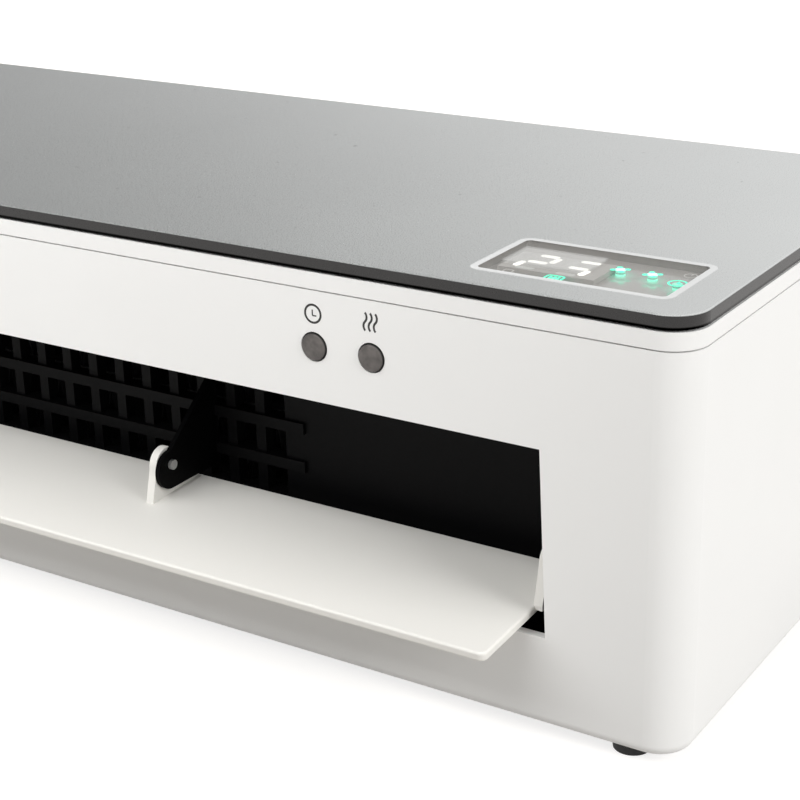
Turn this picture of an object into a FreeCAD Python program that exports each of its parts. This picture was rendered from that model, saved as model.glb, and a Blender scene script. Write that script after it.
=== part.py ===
import FreeCAD
import Part
import math
import os

# A wall fan heater lying on its back: X along the outlet, -Y out of the outlet, +Z out of the glass.
# All sizes are in millimetres and all angles in degrees.

# Overall size over the feet, the housing and the glass
WIDTH = 460.0
DEPTH = 160.0
HEIGHT = 120.0
FOOT_HEIGHT = 3.5
WALL = 2.5
CORNER_R = 9.5
BOTTOM_EDGE_R = 3.0

# Clearances
RUN_FIT = 0.05
LOOSE_FIT = 0.3
SEAM_GAP = 0.4

# Glass, gasket and cover
GLASS_THICKNESS = 3.6
GLASS_EDGE_R = 0.5
GASKET_THICKNESS = 0.6
GASKET_INSET = 1.6
COVER_SKIRT = 4.5
COVER_PLATE = 2.0
TONGUE_THICKNESS = 1.6
TONGUE_REACH = 5.0

# Cover screws
BOSS_INSET = 14.0
BOSS_FRONT_DEPTH = 54.0
BOSS_BACK_MARGIN = 30.0
BOSS_R = 4.6
BOSS_SPLIT_DROP = 26.0
BOSS_LEDGE = 3.0
SCREW_WELL_R = 3.4
SCREW_HEAD_R = 3.0
SCREW_HEAD_HEIGHT = 2.0
SCREW_R = 1.5
COVER_SCREW_LENGTH = 14.0

# Outlet opening
OPENING_SIDE_MARGIN = 39.0
SILL_HEIGHT = 25.6
HEAD_BAND = 30.4
OPENING_FLARE = 2.0

# Louvre
LOUVRE_TILT = 3.4
LOUVRE_THICKNESS = 2.5
LOUVRE_EDGE_R = 0.7
LOUVRE_CORNER_R = 2.0
LOUVRE_END_GAP = 3.0
LOUVRE_TIP_GAP = 0.6
LOUVRE_REAR = 13.8
LOUVRE_DROP = 9.8
PIVOT_DEPTH = 11.5
PIVOT_RISE = 16.5
EAR_THICKNESS = 2.5
EAR_R = 4.8
EAR_FOOT = 8.0
EAR_OUT = 2.0
PIN_R = 1.5
PIN_PROUD = 1.0
BUSH_R = 4.0
DRIVE_R = 2.5
DRIVE_SEAT = 3.0

# Louvre brackets
BRACKET_SHARE = 0.333
BRACKET_THICKNESS = 1.4
BRACKET_EYE_R = 5.8
BRACKET_ARM_GAP = 2.3
BRACKET_ROOT_HIGH = 42.0

# Louvre motor
LOUVRE_MOTOR_R = 10.0
LOUVRE_MOTOR_LENGTH = 18.0
LOUVRE_MOTOR_OFFSET = 6.4
LOUVRE_MOTOR_LUG = 2.0
LOUVRE_MOTOR_LUG_R = 3.2

# Outlet duct and grille
DUCT_WALL = 2.0
DUCT_SIDE_GAP = 1.0
DUCT_LIP = 2.8
GRILLE_DEPTH = 34.0
GRILLE_THICKNESS = 4.0
GRILLE_PITCH_X = 10.7
GRILLE_PITCH_Z = 12.0
GRILLE_BAR = 3.4
GRILLE_LIFT = 1.6
GRILLE_BLANK = 100.0
GRILLE_LEFT_MARGIN = 16.0
GRILLE_RIB_PROUD = 1.2
GRILLE_RIB_RUN = 5.5

# Ceramic heater
HEATER_GAP = 3.0
HEATER_DEPTH = 16.0
HEATER_END = 12.0
HEATER_BAR_HEIGHT = 5.0
HEATER_BAR_SEAT = 5.0
FIN_PITCH = 3.6
FIN_SHEET = 0.5
HOLDER_BACK = 4.0

# Fan and scroll
FAN_R = 30.0
FAN_INNER_R = 23.5
FAN_BLADES = 26
FAN_DISCS = 5
FAN_DISC_THICKNESS = 2.0
FAN_BLADE_SHEET = 1.1
FAN_BLADE_LEAN = 24.0
FAN_FRONT_GAP = 8.0
FAN_END_GAP = 4.0
FAN_HUB_R = 8.0
FAN_HUB_LENGTH = 16.0
SCROLL_GAP = 4.0
SCROLL_SHEET = 2.0
SCROLL_FLOOR_SHARE = 0.94
SCROLL_REAR_ANGLE = 350.0
TONGUE_LIP = 3.0
TONGUE_GAP = 2.0
SHAFT_R = 3.0

# Fan motor, its bracket and the left bearing
MOTOR_R = 27.0
MOTOR_LENGTH = 42.0
MOTOR_CAN = 2.5
ROTOR_R = 20.0
ROTOR_END_GAP = 4.0
MOTOR_FLANGE = 2.0
MOTOR_BOLT_SPAN = 50.0
GROMMET_LENGTH = 3.0
GROMMET_R = 5.0
PLATE_SHEET = 2.0
PLATE_HALF_WIDTH = 38.0
PLATE_TOP_RISE = 30.0
FLANGE_RUN = 13.0
SHAFT_TAIL = 4.0
BEARING_R = 7.0
BEARING_LENGTH = 7.0
BEARING_FLANGE_R = 9.5
BEARING_FLANGE = 1.2
PLATE_HOLE_R = 11.0

# Stand-offs and boards
STAND_HEIGHT = 6.0
STAND_R = 4.0
BOARD_THICKNESS = 1.6
POWER_BOARD_LENGTH = 83.0
POWER_BOARD_DEPTH = 78.0
POWER_BOARD_FRONT = 62.0
POWER_BOARD_SIDE_GAP = 21.0
BOARD_SCREW_INSET = 5.0
BOARD_SCREW_LENGTH = 6.0
RELAY_SIZE = (19.0, 15.4, 15.0)
RELAY_STEP = 22.0
TERMINAL_SIZE = (38.0, 12.0, 13.0)

# Display
DISPLAY_SIDE_MARGIN = 38.1
DISPLAY_DEPTH = 25.8
BEZEL_WIDTH = 54.9
BEZEL_LENGTH = 30.9
BEZEL_LINE = 1.9
BEZEL_R = 3.4
LENS_THICKNESS = 0.5
TRAY_THICKNESS = 0.4
TRAY_RECESS = 1.5
DIGIT_SIZE = (26.6, 14.0)
DIGIT_SHIFT = (-9.2, -1.1)
DIGIT_RECESS = 0.2
ICON_R = 1.25
ICON_PLACES = ((6.1, 2.7), (14.7, 2.7), (22.9, -0.9), (-5.1, -11.1))
RECEIVER_SIZE = (7.0, 5.0, 4.0)
RECEIVER_SHIFT = (14.0, 17.5)
DISPLAY_BOARD_DROP = 6.0
DISPLAY_BOARD_LEFT = 33.0
DISPLAY_BOARD_RIGHT = 27.0
DISPLAY_BOARD_FRONT = 14.0
DISPLAY_BOARD_BACK = 22.0
DISPLAY_POST_R = 2.2

# Buttons
BUTTON_HOLE_R = 4.05
BUTTON_GAP = 0.3
BUTTON_SPACING = 17.6
BUTTON_FIRST_MARGIN = 87.3
BUTTON_RISE = 15.2
BUTTON_PROUD = 0.7
BUTTON_EDGE_R = 0.6
BUTTON_COLLAR_R = 5.0
BUTTON_COLLAR = 1.2
BUTTON_STEM_R = 1.8
BUTTON_STEM = 2.2
BUTTON_TRAVEL = 0.8
BUTTON_FREE_PLAY = 0.1
SWITCH_SIZE = 6.0
SWITCH_BODY = 3.5
SWITCH_PLUNGER = 1.0
SWITCH_PLUNGER_R = 1.7
BUTTON_BOARD_WIDTH = 46.0
BUTTON_BOARD_HEIGHT = 13.0
BUTTON_POST_R = 2.4

# Power rocker and mains gland in the left side
ROCKER_DEPTH = 112.0
ROCKER_RISE = 52.0
ROCKER_HOLE = (19.4, 13.2)
ROCKER_BEZEL = (22.0, 15.6)
ROCKER_BEZEL_PROUD = 1.8
ROCKER_BODY = 14.0
ROCKER_SHELL = 1.2
ROCKER_PADDLE = (16.0, 9.8)
ROCKER_RISE_OUT = 1.2
ROCKER_V = 1.5
ROCKER_SWING_ROOM = 1.2
ROCKER_REST = 9.0
ROCKER_PIN_R = 1.2
ROCKER_PIN_DROP = 5.5
ROCKER_SKIRT = 4.0
GLAND_BACK_MARGIN = 16.0
GLAND_RISE = 24.0
GLAND_NECK = 12.0
GLAND_FLANGE_R = 9.5
GLAND_FLANGE = 2.0
GLAND_BORE_R = 3.8
GLAND_TAIL = 8.0

# Rear cover in the back of the housing
BACK_LIP = 20.0
REAR_FLANGE = 1.5
REAR_OVERLAP = 6.0
REAR_CORNER_R = 6.0

# Wall keyholes, feet, intake and filter
KEYHOLE_SPACING = 300.0
KEYHOLE_BACK_MARGIN = 36.0
KEYHOLE_R = 4.5
KEYHOLE_SLOT_R = 2.3
KEYHOLE_RUN = 9.0
FOOT_INSET = 16.0
FOOT_FRONT = 8.5
FOOT_TOP_R = 5.4
FOOT_SOLE_R = 5.0
SLOT_WIDTH = 3.2
SLOT_PITCH = 7.0
SLOT_HEIGHT = 32.0
SLOT_ROW_GAP = 8.0
INTAKE_MARGIN = 5.0
INTAKE_CORNER_R = 4.0
FILTER_THICKNESS = 1.5
FILTER_MARGIN = 6.0
FILTER_PITCH = 13.5
FILTER_BAR = 2.0
CUTOUT_R = 8.0
CUTOUT_HEIGHT = 5.0
SENSOR_SIZE = (8.0, 6.0, 12.0)
SENSOR_SIDE_GAP = 60.0

# Levels and lines that follow from the sizes above
HALF = WIDTH / 2.0
GLASS_BOTTOM = HEIGHT - GLASS_THICKNESS
COVER_TOP = GLASS_BOTTOM - GASKET_THICKNESS
COVER_UNDER = COVER_TOP - COVER_PLATE
COVER_BOTTOM = COVER_TOP - COVER_SKIRT
RIM = COVER_BOTTOM - SEAM_GAP
BODY_BOTTOM = FOOT_HEIGHT
FLOOR = BODY_BOTTOM + WALL
STAND_TOP = FLOOR + REAR_FLANGE + STAND_HEIGHT
SILL = BODY_BOTTOM + SILL_HEIGHT
HEAD = RIM - HEAD_BAND
OPENING_HALF = HALF - OPENING_SIDE_MARGIN
PIVOT_Z = SILL + PIVOT_RISE
LOUVRE_FRONT = HEAD - PIVOT_Z - LOUVRE_TIP_GAP
LOUVRE_HALF = OPENING_HALF - LOUVRE_END_GAP
EAR_HALF = LOUVRE_HALF + EAR_OUT
TILT_COS = math.cos(math.radians(LOUVRE_TILT))
TILT_SIN = math.sin(math.radians(LOUVRE_TILT))
LOUVRE_REACH = LOUVRE_FRONT * TILT_COS - LOUVRE_DROP * TILT_SIN - PIVOT_DEPTH
FRONT = (LOUVRE_REACH - DEPTH) / 2.0
BACK = FRONT + DEPTH
PIVOT_Y = FRONT + PIVOT_DEPTH
BRACKET_X = OPENING_HALF * BRACKET_SHARE
BRACKET_LOW = LOUVRE_DROP - BRACKET_ARM_GAP
DUCT_HALF = OPENING_HALF + DUCT_SIDE_GAP
DUCT_FLOOR = SILL - DUCT_LIP
DUCT_TOP = HEAD + LOOSE_FIT
GRILLE_Y = FRONT + GRILLE_DEPTH
GRILLE_BACK = GRILLE_Y + GRILLE_THICKNESS
LATTICE_LEFT = -OPENING_HALF + GRILLE_LEFT_MARGIN
LATTICE_RIGHT = OPENING_HALF - GRILLE_BLANK
HEATER_Y = GRILLE_BACK + HEATER_GAP
HEATER_BACK = HEATER_Y + HEATER_DEPTH
AIR_LEFT = LATTICE_LEFT - HEATER_END
AIR_RIGHT = LATTICE_RIGHT + HEATER_END
FAN_Y = HEATER_BACK + FAN_FRONT_GAP + FAN_R
FAN_Z = DUCT_FLOOR + (FAN_R + SCROLL_GAP) * SCROLL_FLOOR_SHARE
FAN_LEFT = AIR_LEFT + FAN_END_GAP
FAN_RIGHT = AIR_RIGHT - FAN_END_GAP
MOTOR_X = AIR_RIGHT + PLATE_SHEET + GROMMET_LENGTH
DISPLAY_X = HALF - DISPLAY_SIDE_MARGIN
DISPLAY_Y = FRONT + DISPLAY_DEPTH
DISPLAY_BOARD_TOP = COVER_UNDER - DISPLAY_BOARD_DROP
BUTTON_Z = HEAD + BUTTON_RISE
TIMER_X = HALF - BUTTON_FIRST_MARGIN - BUTTON_SPACING
FUNCTION_X = TIMER_X + BUTTON_SPACING
BUTTON_BACK = FRONT + WALL + LOOSE_FIT + BUTTON_COLLAR + BUTTON_STEM
PLUNGER_Y = BUTTON_BACK + BUTTON_TRAVEL + BUTTON_FREE_PLAY
BUTTON_BOARD_Y = PLUNGER_Y + SWITCH_PLUNGER + SWITCH_BODY
ROCKER_Y = FRONT + ROCKER_DEPTH
ROCKER_Z = BODY_BOTTOM + ROCKER_RISE
GLAND_Y = BACK - GLAND_BACK_MARGIN
GLAND_Z = BODY_BOTTOM + GLAND_RISE
KEYHOLE_Y = BACK - KEYHOLE_BACK_MARGIN
INTAKE_Z = (FLOOR + RIM) / 2.0
POWER_X = HALF - WALL - POWER_BOARD_SIDE_GAP - POWER_BOARD_LENGTH

X_AXIS = FreeCAD.Vector(1, 0, 0)
Y_AXIS = FreeCAD.Vector(0, 1, 0)
Z_AXIS = FreeCAD.Vector(0, 0, 1)


def block(x0, x1, y0, y1, z0, z1):
    return Part.makeBox(x1 - x0, y1 - y0, z1 - z0, FreeCAD.Vector(x0, y0, z0))


def slab(x, y, z, size):
    """Box of the given size that stands on (x, y, z)."""
    return block(x - size[0] / 2, x + size[0] / 2, y - size[1] / 2, y + size[1] / 2, z, z + size[2])


def rod_x(x0, x1, y, z, r):
    return Part.makeCylinder(r, x1 - x0, FreeCAD.Vector(x0, y, z), X_AXIS)


def rod_y(x, y0, y1, z, r):
    return Part.makeCylinder(r, y1 - y0, FreeCAD.Vector(x, y0, z), Y_AXIS)


def rod_z(x, y, z0, z1, r):
    return Part.makeCylinder(r, z1 - z0, FreeCAD.Vector(x, y, z0), Z_AXIS)


def edges_along(shape, axis):
    """Straight edges of a shape that run along one axis."""
    found = []
    for edge in shape.Edges:
        if isinstance(edge.Curve, Part.Line) and abs(edge.tangentAt(edge.FirstParameter).dot(axis)) > 0.999:
            found.append(edge)
    return found


def edges_at(shape, z):
    """Edges of a shape that lie in one level plane."""
    return [e for e in shape.Edges if abs(e.BoundBox.ZMin - z) < 1e-4 and abs(e.BoundBox.ZMax - z) < 1e-4]


def tile(x0, x1, y0, y1, z0, z1, r):
    """Plate with rounded upright corners."""
    plate = block(x0, x1, y0, y1, z0, z1)
    return plate.makeFillet(r, edges_along(plate, Z_AXIS))


def outline(inset, z0, z1):
    """Plate with the outline of the housing, drawn in by an inset."""
    return tile(-HALF + inset, HALF - inset, FRONT + inset, BACK - inset, z0, z1, CORNER_R - inset)


def prism_x(points, x0, x1):
    """Polygon of (y, z) points pulled along X."""
    corners = [FreeCAD.Vector(x0, y, z) for y, z in points]
    face = Part.Face(Part.makePolygon(corners + corners[:1]))
    return face.extrude(FreeCAD.Vector(x1 - x0, 0, 0))


def prism_y(points, y0, y1):
    """Polygon of (x, z) points pulled along Y."""
    corners = [FreeCAD.Vector(x, y0, z) for x, z in points]
    face = Part.Face(Part.makePolygon(corners + corners[:1]))
    return face.extrude(FreeCAD.Vector(0, y1 - y0, 0))


def joined(shapes):
    return shapes[0].multiFuse(shapes[1:]).removeSplitter()


def mirrored(value):
    return (-value, value)


def cover_screw_places():
    places = []
    for x in mirrored(HALF - BOSS_INSET):
        for y in (FRONT + BOSS_FRONT_DEPTH, BACK - BOSS_BACK_MARGIN):
            places.append((x, y))
    return places


def power_board_places():
    places = []
    for x in (POWER_X + BOARD_SCREW_INSET, POWER_X + POWER_BOARD_LENGTH - BOARD_SCREW_INSET):
        for y in (BOARD_SCREW_INSET, POWER_BOARD_DEPTH - BOARD_SCREW_INSET):
            places.append((x, FRONT + POWER_BOARD_FRONT + y))
    return places


def plate_screw_places():
    """Feet of the motor bracket and of the bearing plate."""
    places = []
    for x in (AIR_RIGHT + FLANGE_RUN / 2 + PLATE_SHEET / 2, AIR_LEFT - FLANGE_RUN / 2 - PLATE_SHEET / 2):
        for y in mirrored(PLATE_HALF_WIDTH - STAND_R):
            places.append((x, FAN_Y + y))
    return places


def motor_bolt_places():
    places = []
    for y in mirrored(MOTOR_BOLT_SPAN / 2):
        for z in mirrored(MOTOR_BOLT_SPAN / 2):
            places.append((FAN_Y + y, FAN_Z + z))
    return places


def button_post_places():
    middle = (TIMER_X + FUNCTION_X) / 2
    return [middle + x for x in mirrored(BUTTON_BOARD_WIDTH / 2 - BUTTON_POST_R)]


def foot_places():
    places = []
    for x in mirrored(HALF - FOOT_INSET):
        for y in (FRONT + FOOT_FRONT, BACK - FOOT_FRONT):
            places.append((x, y))
    return places


def boss_split():
    """Level at which the housing bosses meet the posts of the cover."""
    return COVER_UNDER - BOSS_SPLIT_DROP


def outlet_corners():
    """Opening for the louvre, a little longer along the sill than along the head."""
    sill_half = OPENING_HALF + OPENING_FLARE
    return [(-sill_half, SILL), (sill_half, SILL), (OPENING_HALF, HEAD), (-OPENING_HALF, HEAD)]


def make_housing():
    """Walls, with a lip round the back that the rear cover sits on."""
    shell = outline(0, BODY_BOTTOM, RIM)
    shell = shell.makeFillet(BOTTOM_EDGE_R, edges_at(shell, BODY_BOTTOM))
    adds = []
    cuts = [rear_plate(BACK_LIP, BODY_BOTTOM - 1, FLOOR + 1)]
    for x, y in cover_screw_places():
        adds.append(rod_z(x, y, BODY_BOTTOM + WALL / 2, boss_split(), BOSS_R))
        cuts.append(rod_z(x, y, BODY_BOTTOM - 1, boss_split() - BOSS_LEDGE, SCREW_WELL_R))
        cuts.append(rod_z(x, y, BODY_BOTTOM, boss_split() + 1, SCREW_R + LOOSE_FIT))
    for x in button_post_places():
        adds.append(rod_y(x, FRONT + WALL / 2, BUTTON_BOARD_Y, BUTTON_Z, BUTTON_POST_R))
    cuts.append(prism_y(outlet_corners(), FRONT - 1, FRONT + WALL + 1))
    for x in (TIMER_X, FUNCTION_X):
        cuts.append(rod_y(x, FRONT - 1, FRONT + WALL + 1, BUTTON_Z, BUTTON_HOLE_R))
    cuts.append(intake_panel(RUN_FIT, BACK - WALL - 1, BACK + 1))
    hole_y, hole_z = ROCKER_HOLE
    cuts.append(block(-HALF - 1, -HALF + WALL + 1, ROCKER_Y - hole_y / 2, ROCKER_Y + hole_y / 2,
                      ROCKER_Z - hole_z / 2, ROCKER_Z + hole_z / 2))
    cuts.append(gland_neck(RUN_FIT, -HALF - 1, -HALF + WALL + 1))
    hollow = outline(WALL, FLOOR, RIM + 1)
    tub = shell.cut(hollow)
    return joined([tub] + adds).cut(Part.makeCompound(cuts)).removeSplitter()


def rear_plate(inset, z0, z1):
    return tile(-HALF + inset, HALF - inset, FRONT + inset, BACK - inset, z0, z1, REAR_CORNER_R)


def make_rear_cover():
    """Flush plate in the back of the housing, with keyholes and the stand-offs of the works."""
    plate = rear_plate(BACK_LIP + LOOSE_FIT, BODY_BOTTOM, FLOOR)
    flange = rear_plate(BACK_LIP - REAR_OVERLAP, FLOOR, FLOOR + REAR_FLANGE)
    room = BOSS_R + LOOSE_FIT
    notches = [rod_z(x, y, FLOOR - 1, FLOOR + REAR_FLANGE + 1, room) for x, y in cover_screw_places()]
    parts = [plate, flange.cut(Part.makeCompound(notches))]
    cuts = []
    for x, y in power_board_places() + plate_screw_places():
        parts.append(rod_z(x, y, BODY_BOTTOM + WALL / 2, STAND_TOP, STAND_R))
        cuts.append(rod_z(x, y, FLOOR, STAND_TOP + 1, SCREW_R + RUN_FIT))
    top = FLOOR + REAR_FLANGE + 1
    for x in mirrored(KEYHOLE_SPACING / 2):
        cuts.append(rod_z(x, KEYHOLE_Y, BODY_BOTTOM - 1, top, KEYHOLE_R))
        cuts.append(block(x - KEYHOLE_SLOT_R, x + KEYHOLE_SLOT_R, KEYHOLE_Y, KEYHOLE_Y + KEYHOLE_RUN,
                          BODY_BOTTOM - 1, top))
        cuts.append(rod_z(x, KEYHOLE_Y + KEYHOLE_RUN, BODY_BOTTOM - 1, top, KEYHOLE_SLOT_R))
    return joined(parts).cut(Part.makeCompound(cuts)).removeSplitter()


def intake_panel(grow, y0, y1):
    """Rounded block over the air intake in the wall opposite the outlet."""
    half_z = SLOT_HEIGHT + SLOT_ROW_GAP / 2 + INTAKE_MARGIN + grow
    panel = block(LATTICE_LEFT - grow, LATTICE_RIGHT + grow, y0, y1, INTAKE_Z - half_z, INTAKE_Z + half_z)
    return panel.makeFillet(INTAKE_CORNER_R, edges_along(panel, Y_AXIS))


def make_intake_grille():
    slots = []
    count = int((LATTICE_RIGHT - LATTICE_LEFT - 2 * INTAKE_MARGIN) / SLOT_PITCH)
    start = (LATTICE_LEFT + LATTICE_RIGHT - (count - 1) * SLOT_PITCH) / 2
    for row in mirrored((SLOT_HEIGHT + SLOT_ROW_GAP) / 2):
        for k in range(count):
            x = start + k * SLOT_PITCH
            slots.append(block(x - SLOT_WIDTH / 2, x + SLOT_WIDTH / 2, BACK - WALL - 1, BACK + 1,
                               INTAKE_Z + row - SLOT_HEIGHT / 2, INTAKE_Z + row + SLOT_HEIGHT / 2))
    return intake_panel(0, BACK - WALL, BACK).cut(Part.makeCompound(slots))


def make_cover():
    lid = outline(0, COVER_BOTTOM, COVER_TOP)
    lid = lid.cut(outline(WALL, COVER_BOTTOM - 1, COVER_UNDER))
    tongue = outline(WALL + LOOSE_FIT, RIM - TONGUE_REACH, COVER_UNDER)
    tongue = tongue.cut(outline(WALL + LOOSE_FIT + TONGUE_THICKNESS, RIM - TONGUE_REACH - 1, COVER_UNDER + 1))
    shelf = outline(WALL / 2, COVER_BOTTOM, COVER_UNDER)
    shelf = shelf.cut(outline(WALL + LOOSE_FIT + TONGUE_THICKNESS, COVER_BOTTOM - 1, COVER_UNDER + 1))
    parts = [lid, shelf, tongue]
    for x, y in cover_screw_places():
        parts.append(rod_z(x, y, boss_split(), COVER_TOP - COVER_PLATE / 2, BOSS_R))
    for x, y in display_post_places():
        parts.append(rod_z(x, y, DISPLAY_BOARD_TOP, COVER_TOP - COVER_PLATE / 2, DISPLAY_POST_R))
    cover = joined(parts)
    for x, y in cover_screw_places():
        cover = cover.cut(rod_z(x, y, boss_split() - 1, boss_split() + COVER_SCREW_LENGTH, SCREW_R + RUN_FIT))
    return cover.cut(display_window(LOOSE_FIT, COVER_BOTTOM - 1, COVER_TOP + 1))


def display_window(grow, z0, z1):
    """Rounded block over the display, grown past the edge of the bezel."""
    half_x = BEZEL_WIDTH / 2 + grow
    half_y = BEZEL_LENGTH / 2 + grow
    return tile(DISPLAY_X - half_x, DISPLAY_X + half_x, DISPLAY_Y - half_y, DISPLAY_Y + half_y, z0, z1,
                BEZEL_R + grow)


def display_post_places():
    left = DISPLAY_X - BEZEL_WIDTH / 2 - DISPLAY_POST_R - 1.0
    back = DISPLAY_Y + BEZEL_LENGTH / 2 + DISPLAY_POST_R + 1.0
    return [(left, DISPLAY_Y - BEZEL_LENGTH / 4), (left, back), (DISPLAY_X + BEZEL_WIDTH / 4, back)]


def make_glass():
    glass = outline(0, GLASS_BOTTOM, HEIGHT)
    glass = glass.makeFillet(GLASS_EDGE_R, edges_at(glass, HEIGHT))
    return glass.cut(display_window(0, GLASS_BOTTOM - 1, HEIGHT + 1))


def make_gasket():
    sheet = outline(GASKET_INSET, COVER_TOP, GLASS_BOTTOM)
    return sheet.cut(display_window(LOOSE_FIT, COVER_TOP - 1, GLASS_BOTTOM + 1))


def make_bezel():
    ring = display_window(0, GLASS_BOTTOM, HEIGHT)
    return ring.cut(display_window(-BEZEL_LINE, GLASS_BOTTOM - 1, HEIGHT + 1))


def make_lens():
    return display_window(-BEZEL_LINE, HEIGHT - LENS_THICKNESS, HEIGHT)


def tray_top():
    return HEIGHT - LENS_THICKNESS - TRAY_RECESS


def digit_corners():
    x = DISPLAY_X + DIGIT_SHIFT[0]
    y = DISPLAY_Y + DIGIT_SHIFT[1]
    return (x - DIGIT_SIZE[0] / 2, x + DIGIT_SIZE[0] / 2, y - DIGIT_SIZE[1] / 2, y + DIGIT_SIZE[1] / 2)


def make_tray():
    tray = display_window(-BEZEL_LINE, tray_top() - TRAY_THICKNESS, tray_top())
    x0, x1, y0, y1 = digit_corners()
    tray = tray.cut(block(x0 - RUN_FIT, x1 + RUN_FIT, y0 - RUN_FIT, y1 + RUN_FIT, GLASS_BOTTOM, HEIGHT))
    for x, y in ICON_PLACES:
        tray = tray.cut(rod_z(DISPLAY_X + x, DISPLAY_Y + y, GLASS_BOTTOM, HEIGHT, ICON_R + RUN_FIT))
    return tray


def make_digits():
    x0, x1, y0, y1 = digit_corners()
    return block(x0, x1, y0, y1, DISPLAY_BOARD_TOP, HEIGHT - LENS_THICKNESS - DIGIT_RECESS)


def make_icon_pipes():
    top = HEIGHT - LENS_THICKNESS - DIGIT_RECESS
    return Part.makeCompound([rod_z(DISPLAY_X + x, DISPLAY_Y + y, DISPLAY_BOARD_TOP, top, ICON_R)
                              for x, y in ICON_PLACES])


def make_display_board():
    return block(DISPLAY_X - DISPLAY_BOARD_LEFT, DISPLAY_X + DISPLAY_BOARD_RIGHT,
                 DISPLAY_Y - DISPLAY_BOARD_FRONT, DISPLAY_Y + DISPLAY_BOARD_BACK,
                 DISPLAY_BOARD_TOP - BOARD_THICKNESS, DISPLAY_BOARD_TOP)


def make_receiver():
    return slab(DISPLAY_X + RECEIVER_SHIFT[0], DISPLAY_Y + RECEIVER_SHIFT[1],
                DISPLAY_BOARD_TOP - BOARD_THICKNESS - RECEIVER_SIZE[2], RECEIVER_SIZE)


def make_button(x):
    collar_front = FRONT + WALL + LOOSE_FIT
    cap = rod_y(x, FRONT - BUTTON_PROUD, collar_front, BUTTON_Z, BUTTON_HOLE_R - BUTTON_GAP)
    rim = [e for e in cap.Edges if abs(e.BoundBox.YMax - (FRONT - BUTTON_PROUD)) < 1e-4]
    cap = cap.makeFillet(BUTTON_EDGE_R, rim)
    collar = rod_y(x, collar_front, collar_front + BUTTON_COLLAR, BUTTON_Z, BUTTON_COLLAR_R)
    stem = rod_y(x, collar_front + BUTTON_COLLAR, BUTTON_BACK, BUTTON_Z, BUTTON_STEM_R)
    return joined([cap, collar, stem])


def make_switches():
    switches = []
    half = SWITCH_SIZE / 2
    for x in (TIMER_X, FUNCTION_X):
        body = block(x - half, x + half, BUTTON_BOARD_Y - SWITCH_BODY, BUTTON_BOARD_Y,
                     BUTTON_Z - half, BUTTON_Z + half)
        plunger = rod_y(x, PLUNGER_Y, BUTTON_BOARD_Y - SWITCH_BODY, BUTTON_Z, SWITCH_PLUNGER_R)
        switches.append(joined([body, plunger]))
    return Part.makeCompound(switches)


def make_button_board():
    middle = (TIMER_X + FUNCTION_X) / 2
    return block(middle - BUTTON_BOARD_WIDTH / 2, middle + BUTTON_BOARD_WIDTH / 2,
                 BUTTON_BOARD_Y, BUTTON_BOARD_Y + BOARD_THICKNESS,
                 BUTTON_Z - BUTTON_BOARD_HEIGHT / 2, BUTTON_Z + BUTTON_BOARD_HEIGHT / 2)


def ear_starts():
    """Left faces of the louvre ears: both ends, and one beside each bracket."""
    inner = [x - BRACKET_THICKNESS / 2 - LOOSE_FIT - EAR_THICKNESS for x in mirrored(BRACKET_X)]
    return [-EAR_HALF] + inner + [EAR_HALF - EAR_THICKNESS]


def tilted(shape):
    """Turns a louvre shape drawn about its pivot, and sets it on the pivot line."""
    shape.rotate(FreeCAD.Vector(0, 0, 0), X_AXIS, LOUVRE_TILT)
    shape.translate(FreeCAD.Vector(0, PIVOT_Y, PIVOT_Z))
    return shape


def make_louvre():
    top = -LOUVRE_DROP
    blade = block(-LOUVRE_HALF, LOUVRE_HALF, -LOUVRE_FRONT, LOUVRE_REAR, top - LOUVRE_THICKNESS, top)
    front_corners = [e for e in edges_along(blade, Z_AXIS) if e.BoundBox.YMax < 0]
    blade = blade.makeFillet(LOUVRE_CORNER_R, front_corners)
    lip = [e for e in edges_along(blade, X_AXIS) if e.BoundBox.YMax < 0]
    blade = blade.makeFillet(LOUVRE_EDGE_R, lip)
    parts = [blade]
    for x in ear_starts():
        foot = [(-EAR_FOOT, top - LOUVRE_THICKNESS / 2), (LOUVRE_REAR, top - LOUVRE_THICKNESS / 2),
                (LOUVRE_REAR, top), (EAR_R, 0), (-EAR_R, 0), (-EAR_FOOT, top)]
        parts.append(prism_x(foot, x, x + EAR_THICKNESS))
        parts.append(rod_x(x, x + EAR_THICKNESS, 0, 0, EAR_R))
    louvre = joined(parts)
    for x in ear_starts():
        r = DRIVE_R if x > BRACKET_X else PIN_R
        louvre = louvre.cut(rod_x(x - 1, x + EAR_THICKNESS + 1, 0, 0, r + RUN_FIT / 2))
    return tilted(louvre)


def make_pins():
    pins = []
    for x in ear_starts()[1:-1]:
        end = x + EAR_THICKNESS + LOOSE_FIT + BRACKET_THICKNESS + PIN_PROUD
        pins.append(rod_x(x, end, PIVOT_Y, PIVOT_Z, PIN_R))
    pins.append(rod_x(-DUCT_HALF - DUCT_WALL, -EAR_HALF + EAR_THICKNESS, PIVOT_Y, PIVOT_Z, PIN_R))
    return Part.makeCompound(pins)


def make_bush():
    left = -DUCT_HALF - DUCT_WALL
    bush = rod_x(left, -DUCT_HALF, PIVOT_Y, PIVOT_Z, BUSH_R)
    return bush.cut(rod_x(left - 1, -DUCT_HALF + 1, PIVOT_Y, PIVOT_Z, PIN_R + RUN_FIT))


def make_drive_shaft():
    return rod_x(EAR_HALF - EAR_THICKNESS, DUCT_HALF + DUCT_WALL + DRIVE_SEAT, PIVOT_Y, PIVOT_Z, DRIVE_R)


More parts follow.
